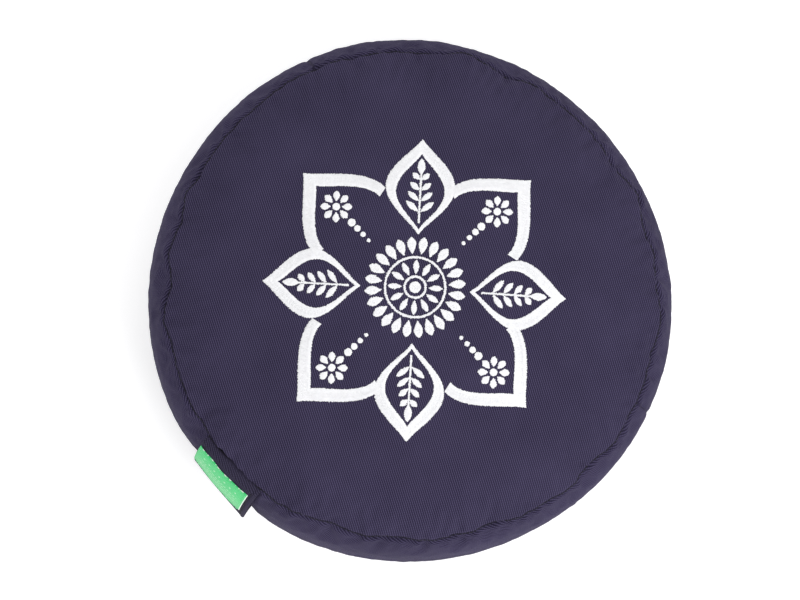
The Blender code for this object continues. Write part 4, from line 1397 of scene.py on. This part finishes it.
# %% Build the label
def build_label():
    """Closed thin label on the strap's outer face, its top edge a little wavy."""
    wide, tall = 46, 36
    sheet_lift = STRAP_THICK / 2.0 + 0.30 * MM
    bm = bmesh.new()
    uv_layer = bm.loops.layers.uv.new("label")
    top, under = [], []
    for i in range(tall + 1):
        for j in range(wide + 1):
            x, y = j / wide * LABEL_WIDE, i / tall * LABEL_TALL
            near = min(x, LABEL_WIDE - x, y, LABEL_TALL - y)
            puff = 0.30 * MM * (1.0 - math.exp(-near / (1.1 * MM)))
            puff -= 0.24 * MM * math.exp(-((near - 1.3 * MM) / (0.5 * MM)) ** 2)
            wavy = 0.4 * MM * math.sin(x / (3.1 * MM)) * math.exp(-y / (4.0 * MM))
            x_here, y_here = LABEL_FROM + x, LABEL_TOP + y + wavy
            flap = 0.25 * MM * math.sin(x / (2.6 * MM) + 0.8) * math.exp(-near / (0.9 * MM))
            for grid, lift in ((top, 0.30 * MM + puff + flap), (under, flap)):
                point = strap_point(np.float64(x_here), np.float64(y_here), sheet_lift + lift)
                grid.append(bm.verts.new(point))

    def skin(grid, turn_round):
        for i in range(tall):
            for j in range(wide):
                spots = [(i, j), (i + 1, j), (i + 1, j + 1), (i, j + 1)]
                if turn_round:
                    spots.reverse()
                face = bm.faces.new([grid[a * (wide + 1) + b] for a, b in spots])
                for loop, (a, b) in zip(face.loops, spots):
                    loop[uv_layer].uv = (b / wide * LABEL_WIDE, a / tall * LABEL_TALL)

    skin(top, False)
    skin(under, True)
    rim = [(0, j) for j in range(wide)] + [(i, wide) for i in range(tall)]
    rim += [(tall, j) for j in range(wide, 0, -1)] + [(i, 0) for i in range(tall, 0, -1)]
    for (a, b), (c, d) in zip(rim, rim[1:] + rim[:1]):
        first, second = a * (wide + 1) + b, c * (wide + 1) + d
        face = bm.faces.new((top[first], top[second], under[second], under[first]))
        for loop, (e, f) in zip(face.loops, ((a, b), (c, d), (c, d), (a, b))):
            loop[uv_layer].uv = (f / wide * LABEL_WIDE, e / tall * LABEL_TALL)
    if bm.calc_volume(signed=True) < 0.0:
        bmesh.ops.reverse_faces(bm, faces=bm.faces)
    mesh = bpy.data.meshes.new("woven_label")
    bm.to_mesh(mesh)
    bm.free()
    mesh.shade_smooth()
    mesh.materials.append(GREEN)
    return new_object("woven_label", mesh)


label = build_label()
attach(label, "cushion")
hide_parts("strap_label")

LABEL_HEM = 1.3 * MM
LABEL_THREAD = thread_material("label_thread", (0.16, 0.74, 0.34), 0.6, 0.1)
corners = [(0, 0), (1, 0), (1, 1), (0, 1), (0, 0)]
rows = []
for (a, b), (c, d) in zip(corners, corners[1:]):
    t = np.linspace(0.0, 1.0, 24)
    across = LABEL_FROM + LABEL_HEM + (a + (c - a) * t) * (LABEL_WIDE - 2 * LABEL_HEM)
    along = LABEL_TOP + LABEL_HEM + (b + (d - b) * t) * (LABEL_TALL - 2 * LABEL_HEM)
    path = strap_point(across, along, STRAP_THICK / 2.0 + 0.80 * MM)
    rows.append(running_stitches(path, unit(strap_point(across, along, 1.0) - path), 2.2 * MM, 0.8))
label_stitches = sewn("label_stitches", rows, thread_tree(LABEL_THREAD), thread_radius=0.16 * MM,
                      most_lift=0.15 * MM)
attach(label_stitches, "cushion")
print("label faces:", len(label.data.polygons), "stitches:", sum(len(r[0]) // 2 for r in rows))

# %% [markdown]
# ## The zips
# A coil zip is a nylon thread wound into loops and sewn along each tape. The loops are
# planned as short edges that reach across the zip's middle line, the two sides half a pitch
# apart, so they mesh, and a fine stitch line crosses them. The tapes stay the CAD's own, in
# a ribbed weave. The sliders, the pull and the stops are die cast: the CAD shapes are copied
# and their edges rounded.

# %% Zip loops
def coil_rows(z, inset, scale, half_angle, side, pitch):
    """Loops of one coil and the stitch line over them: lists of (points, lift)."""
    radius = band_radius(z) - inset
    slope = (band_radius(z + 0.5 * MM) - band_radius(z - 0.5 * MM)) / MM
    up = np.array([slope, 1.0]) / math.hypot(slope, 1.0)
    out = np.array([up[1], -up[0]])
    number = int(2.0 * half_angle * radius / pitch)
    turns = math.pi / 2.0 - half_angle + (np.arange(number) + 0.25 + 0.25 * side) * pitch / radius

    def place(turn, s, n):
        r = radius + (s * up[0] + n * out[0]) * scale
        height = z + (s * up[1] + n * out[1]) * scale
        return np.stack([r * np.cos(turn), r * np.sin(turn), np.full(len(turn), height)], axis=1)

    lift = np.stack([out[0] * np.cos(turns), out[0] * np.sin(turns), np.full(number, out[1])], axis=1)
    sewn_end = place(turns, side * 2.9 * MM, -0.55 * MM)
    meshed_end = place(turns, side * -0.25 * MM, -0.1 * MM)
    loops = np.stack([sewn_end, meshed_end], axis=1).reshape(-1, 3)
    stitch_line = running_stitches(place(turns, side * 1.9 * MM, 0.42 * MM), lift, 2.0 * pitch, 0.8)
    return [(loops, np.repeat(lift, 2, axis=0))], [stitch_line]


def coil_material():
    """Nylon monofilament: smooth, dark and a little glossy."""
    made, nodes, links, shader = node_material("nylon_coil")
    where = nodes.new("ShaderNodeTexCoord").outputs["Object"]
    tone = noise(nodes, links, where, 300.0, 3.0)
    links.new(colour_mix(nodes, links, tone, (0.020, 0.018, 0.034), (0.048, 0.042, 0.078)),
              shader.inputs["Base Color"])
    shader.inputs["Roughness"].default_value = 0.34
    return made


COIL_STITCH = thread_tree(coil_material())
coil_low, coil_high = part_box("bag_zip_coil_lower")[0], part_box("bag_zip_coil_upper")[1]
BAG_ZIP_Z = (coil_low[2] + coil_high[2]) / 2.0
BAG_INSET = 6.5 * MM
for zip_name, z, inset, scale, half_angle in (("cover", ZIP_Z, 0.0, 1.0, math.radians(68.6)),
                                              ("bag", BAG_ZIP_Z, BAG_INSET, 0.7, math.radians(46.6))):
    for side, word in ((1, "upper"), (-1, "lower")):
        loops, line = coil_rows(z, inset, scale, half_angle, side, 1.15 * MM * scale)
        piece = sewn(f"{zip_name}_zip_loops_{word}", loops + line, COIL_STITCH, sides=5,
                     thread_radius=0.36 * MM * scale, most_lift=0.40 * MM * scale)
        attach(piece, "cushion")
        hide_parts(f"{zip_name}_zip_coil_{word}")
        print(piece.name, len(loops[0][0]) // 2, "loops")


# %% Tape, metal and cotton
def woven_grid(nodes, links, where, upright_pitch, round_pitch):
    """Yarns round the axis and upright ones crossing over and under, from 0 to 1."""
    m = math_of(nodes, links)
    split = nodes.new("ShaderNodeSeparateXYZ")
    links.new(where, split.inputs[0])
    turn = m("ARCTAN2", split.outputs[1], split.outputs[0])
    rib = wave_of(m, split.outputs[2], upright_pitch)
    pick = wave_of(m, turn, round_pitch, 2.0 * math.pi * BULGE_R)
    return m, m("MULTIPLY_ADD", m("MULTIPLY", rib, pick), 0.5, 0.5)


def tape_material(name, deep, light):
    """Ribbed woven tape: ribs round the cushion's axis, broken by the picks of its weave."""
    made, nodes, links, shader = node_material(name)
    where = nodes.new("ShaderNodeTexCoord").outputs["Object"]
    m, weave = woven_grid(nodes, links, where, 0.8 * MM, 0.6 * MM)
    tone = m("MULTIPLY_ADD", noise(nodes, links, where, 500.0, 3.0), 0.6, m("MULTIPLY", weave, 0.5))
    links.new(colour_mix(nodes, links, tone, deep, light), shader.inputs["Base Color"])
    links.new(bump(nodes, links, weave, 0.08 * MM, 0.8), shader.inputs["Normal"])
    shader.inputs["Roughness"].default_value = 0.8
    shader.inputs["Sheen Weight"].default_value = 0.1
    return made


def metal_material():
    """Dark nickel on a die casting: soft gloss, faint orange peel and rubbed spots."""
    made, nodes, links, shader = node_material("cast_metal")
    where = nodes.new("ShaderNodeTexCoord").outputs["Object"]
    rubbed = noise(nodes, links, where, 380.0, 4.0, 0.6)
    links.new(colour_mix(nodes, links, rubbed, (0.10, 0.10, 0.115), (0.30, 0.30, 0.32)),
              shader.inputs["Base Color"])
    links.new(math_node(nodes, links, "MULTIPLY_ADD", rubbed, 0.25, 0.22), shader.inputs["Roughness"])
    peel = noise(nodes, links, where, 900.0)
    links.new(bump(nodes, links, peel, 0.03 * MM, 0.5), shader.inputs["Normal"])
    shader.inputs["Metallic"].default_value = 1.0
    return made


def cotton_material():
    """Undyed plain-weave cotton: yarns over and under, with slubs and flecks."""
    made, nodes, links, shader = node_material("plain_cotton")
    where = nodes.new("ShaderNodeTexCoord").outputs["Object"]
    m, weave = woven_grid(nodes, links, where, 0.9 * MM, 0.9 * MM)
    slub = noise(nodes, links, where, 240.0, 4.0, 0.65)
    tone = m("MULTIPLY_ADD", slub, 0.7, m("MULTIPLY", weave, 0.3))
    links.new(colour_mix(nodes, links, tone, (0.52, 0.44, 0.32), (0.80, 0.73, 0.60)),
              shader.inputs["Base Color"])
    links.new(bump(nodes, links, weave, 0.10 * MM, 0.7), shader.inputs["Normal"])
    shader.inputs["Roughness"].default_value = 0.9
    return made


METAL = metal_material()
COTTON = cotton_material()
TAPES = {"cover": tape_material("ribbed_navy", (0.016, 0.015, 0.028), (0.050, 0.046, 0.080)),
         "bag": tape_material("ribbed_natural", (0.42, 0.36, 0.27), (0.72, 0.65, 0.53))}
for zip_name, tape in TAPES.items():
    for word in ("upper", "lower"):
        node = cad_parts[f"{zip_name}_zip_tape_{word}"]
        node.data.materials.clear()
        node.data.materials.append(tape)
print("tapes:", [m.name for m in TAPES.values()])


# %% Round the metal parts' edges
def rounded_copy(node_name, name, body, width):
    """A copy of a CAD casting with merged points and rounded edges, which replaces it."""
    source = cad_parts[node_name]
    mesh = source.data.copy()
    bm = bmesh.new()
    bm.from_mesh(mesh)
    bmesh.ops.remove_doubles(bm, verts=bm.verts, dist=0.002 * MM)
    bmesh.ops.dissolve_limit(bm, angle_limit=math.radians(2.0), verts=bm.verts, edges=bm.edges)
    bm.to_mesh(mesh)
    bm.free()
    made = new_object(name, mesh)
    bevel = made.modifiers.new("rounded", "BEVEL")
    bevel.width = width
    bevel.segments = 2
    bevel.limit_method = "ANGLE"
    bevel.angle_limit = math.radians(32.0)
    bevel.use_clamp_overlap = True
    plain = bpy.data.meshes.new_from_object(made.evaluated_get(bpy.context.evaluated_depsgraph_get()))
    made.modifiers.clear()
    made.data = plain
    plain.materials.clear()
    plain.materials.append(METAL)
    plain.shade_smooth()
    plain.set_sharp_from_angle(angle=math.radians(40.0))
    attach(made, body)
    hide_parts(node_name)
    return made


CASTINGS = (("cover_zip_slider", "cover_slider"), ("cover_zip_pull", "cover_pull"),
            ("bag_zip_slider", "bag_slider"),
            ("cover_zip_closed_stop", "cushion"), ("cover_zip_open_stop", "cushion"),
            ("bag_zip_closed_stop", "cushion"), ("bag_zip_open_stop", "cushion"))
for node_name, body in CASTINGS:
    made = rounded_copy(node_name, node_name + "_cast", body, 0.14 * MM)
    print(made.name, len(made.data.polygons), "faces")

# %% [markdown]
# ## The inner bag and its filling
# Inside the cover a plain cotton bag holds the hulls, so the cover can be washed. It is a
# crowned, closed form that stays just inside the cover. The filling is a heap of small
# three-cornered husks: Geometry Nodes scatter them with a fixed seed over a plain core.

# %% Turned forms
def turned_form(name, outline, around, crease, seed, material):
    """A closed form turned from an (r, z) outline that runs from the top down."""
    rng = np.random.default_rng(seed)
    turn = np.arange(around) * 2.0 * np.pi / around
    folds = sum(rng.normal() * np.cos(k * turn + rng.uniform(0, 6.28)) for k in range(9, 40)) / 5.0
    bm = bmesh.new()
    rings_made = []
    for r, z in outline[1:-1]:
        amount = crease * math.exp(-((z - outline[:, 1].mean()) / (0.05)) ** 2)
        reach = r - amount * np.abs(folds)
        ring = np.c_[reach * np.cos(turn), reach * np.sin(turn), np.full(around, z)]
        rings_made.append([bm.verts.new(p) for p in worn(ring)])
    for above, below in zip(rings_made, rings_made[1:]):
        for j in range(around):
            k = (j + 1) % around
            bm.faces.new((above[j], below[j], below[k], above[k]))
    for ring, (_, z), up in ((rings_made[0], outline[0], True), (rings_made[-1], outline[-1], False)):
        pole = bm.verts.new((0.0, 0.0, z))
        for j in range(around):
            k = (j + 1) % around
            bm.faces.new((pole, ring[j], ring[k]) if up else (pole, ring[k], ring[j]))
    mesh = bpy.data.meshes.new(name)
    bm.to_mesh(mesh)
    print(name, "volume", round(bm.calc_volume(signed=True) * 1000.0, 2), "litres")
    bm.free()
    mesh.shade_smooth()
    mesh.materials.append(material)
    return new_object(name, mesh)


def bag_outline(inset, count=64):
    """Outline of the filled bag: flat under, round at the side, domed on top."""
    turn = np.linspace(0.0, np.pi, count)
    low, high = inset, HEIGHT - inset
    cos, sin = np.cos(turn), np.sin(turn)
    r = (BULGE_R - inset) * np.sign(sin) * np.abs(sin) ** 0.42
    z = (low + high) / 2.0 + (high - low) / 2.0 * np.sign(cos) * np.abs(cos) ** 0.62
    limit = np.interp(r, [0.0, SEAM_R - inset, BULGE_R], [HEIGHT - inset, TOP_SEAM_Z - inset, BULGE_Z])
    z = np.minimum(z, np.array([min(l, crown_z(min(x, SEAM_R)) - inset) for l, x in zip(limit + 1.0, r)]))
    side = np.array([band_radius(min(max(h, LOW_SEAM_Z), TOP_SEAM_Z)) - inset for h in z])
    return np.c_[np.minimum(r, side), z]


bag = turned_form("inner_bag", bag_outline(6.6 * MM), 240, 1.2 * MM, 5, COTTON)
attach(bag, "cushion")
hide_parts("bag_top_panel", "bag_bottom_panel", "bag_side_band", "bag_strip_upper", "bag_strip_lower")


# %% Buckwheat hulls
def hull_material():
    """Dry husk: dark brown in an uneven tone, with a dull shine."""
    made, nodes, links, shader = node_material("dry_hulls")
    where = nodes.new("ShaderNodeTexCoord").outputs["Object"]
    tone = noise(nodes, links, where, 160.0, 4.0, 0.7)
    links.new(colour_mix(nodes, links, tone, (0.030, 0.018, 0.012), (0.145, 0.085, 0.050)),
              shader.inputs["Base Color"])
    links.new(bump(nodes, links, tone, 0.3 * MM, 0.6), shader.inputs["Normal"])
    shader.inputs["Roughness"].default_value = 0.55
    return made


def hull_tree(material):
    """Scatter small three-sided husks over a form, and keep the form as their core."""
    tree, given = start_tree("scattered_hulls", {"Hulls per square metre": 24000.0, "Hull size": 3.4 * MM,
                                                 "Seed": 7})
    spread = tree_link(tree, tree.nodes.new("GeometryNodeDistributePointsOnFaces"),
                       {"Mesh": given["Geometry"], "Density": given["Hulls per square metre"],
                        "Seed": given["Seed"]})
    husk = tree.nodes.new("GeometryNodeMeshCone")
    tree_link(tree, husk, {"Vertices": 3, "Side Segments": 1, "Radius Bottom": given["Hull size"],
                           "Radius Top": 0.0, "Depth": given["Hull size"]})
    turning = tree.nodes.new("FunctionNodeRandomValue")
    turning.data_type = "FLOAT_VECTOR"
    turning.inputs["Max"].default_value = (6.28, 6.28, 6.28)
    tree.links.new(given["Seed"], turning.inputs["Seed"])
    placed = tree_link(tree, tree.nodes.new("GeometryNodeInstanceOnPoints"),
                       {"Points": spread.outputs["Points"], "Instance": husk.outputs["Mesh"],
                        "Rotation": turning.outputs["Value"]})
    together = tree.nodes.new("GeometryNodeJoinGeometry")
    tree.links.new(given["Geometry"], together.inputs[0])
    tree.links.new(placed.outputs[0], together.inputs[0])
    end_tree(tree, together.outputs[0], material)
    return tree


HUSK = hull_material()
core = turned_form("hull_core", bag_outline(13.0 * MM), 96, 0.6 * MM, 6, HUSK)
core_mesh = core.data
bpy.data.objects.remove(core, do_unlink=True)
filling = grow(core_mesh, hull_tree(HUSK), "buckwheat_filling")
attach(filling, "cushion")
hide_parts("hull_filling")
print("filling:", len(filling.data.polygons), "faces")
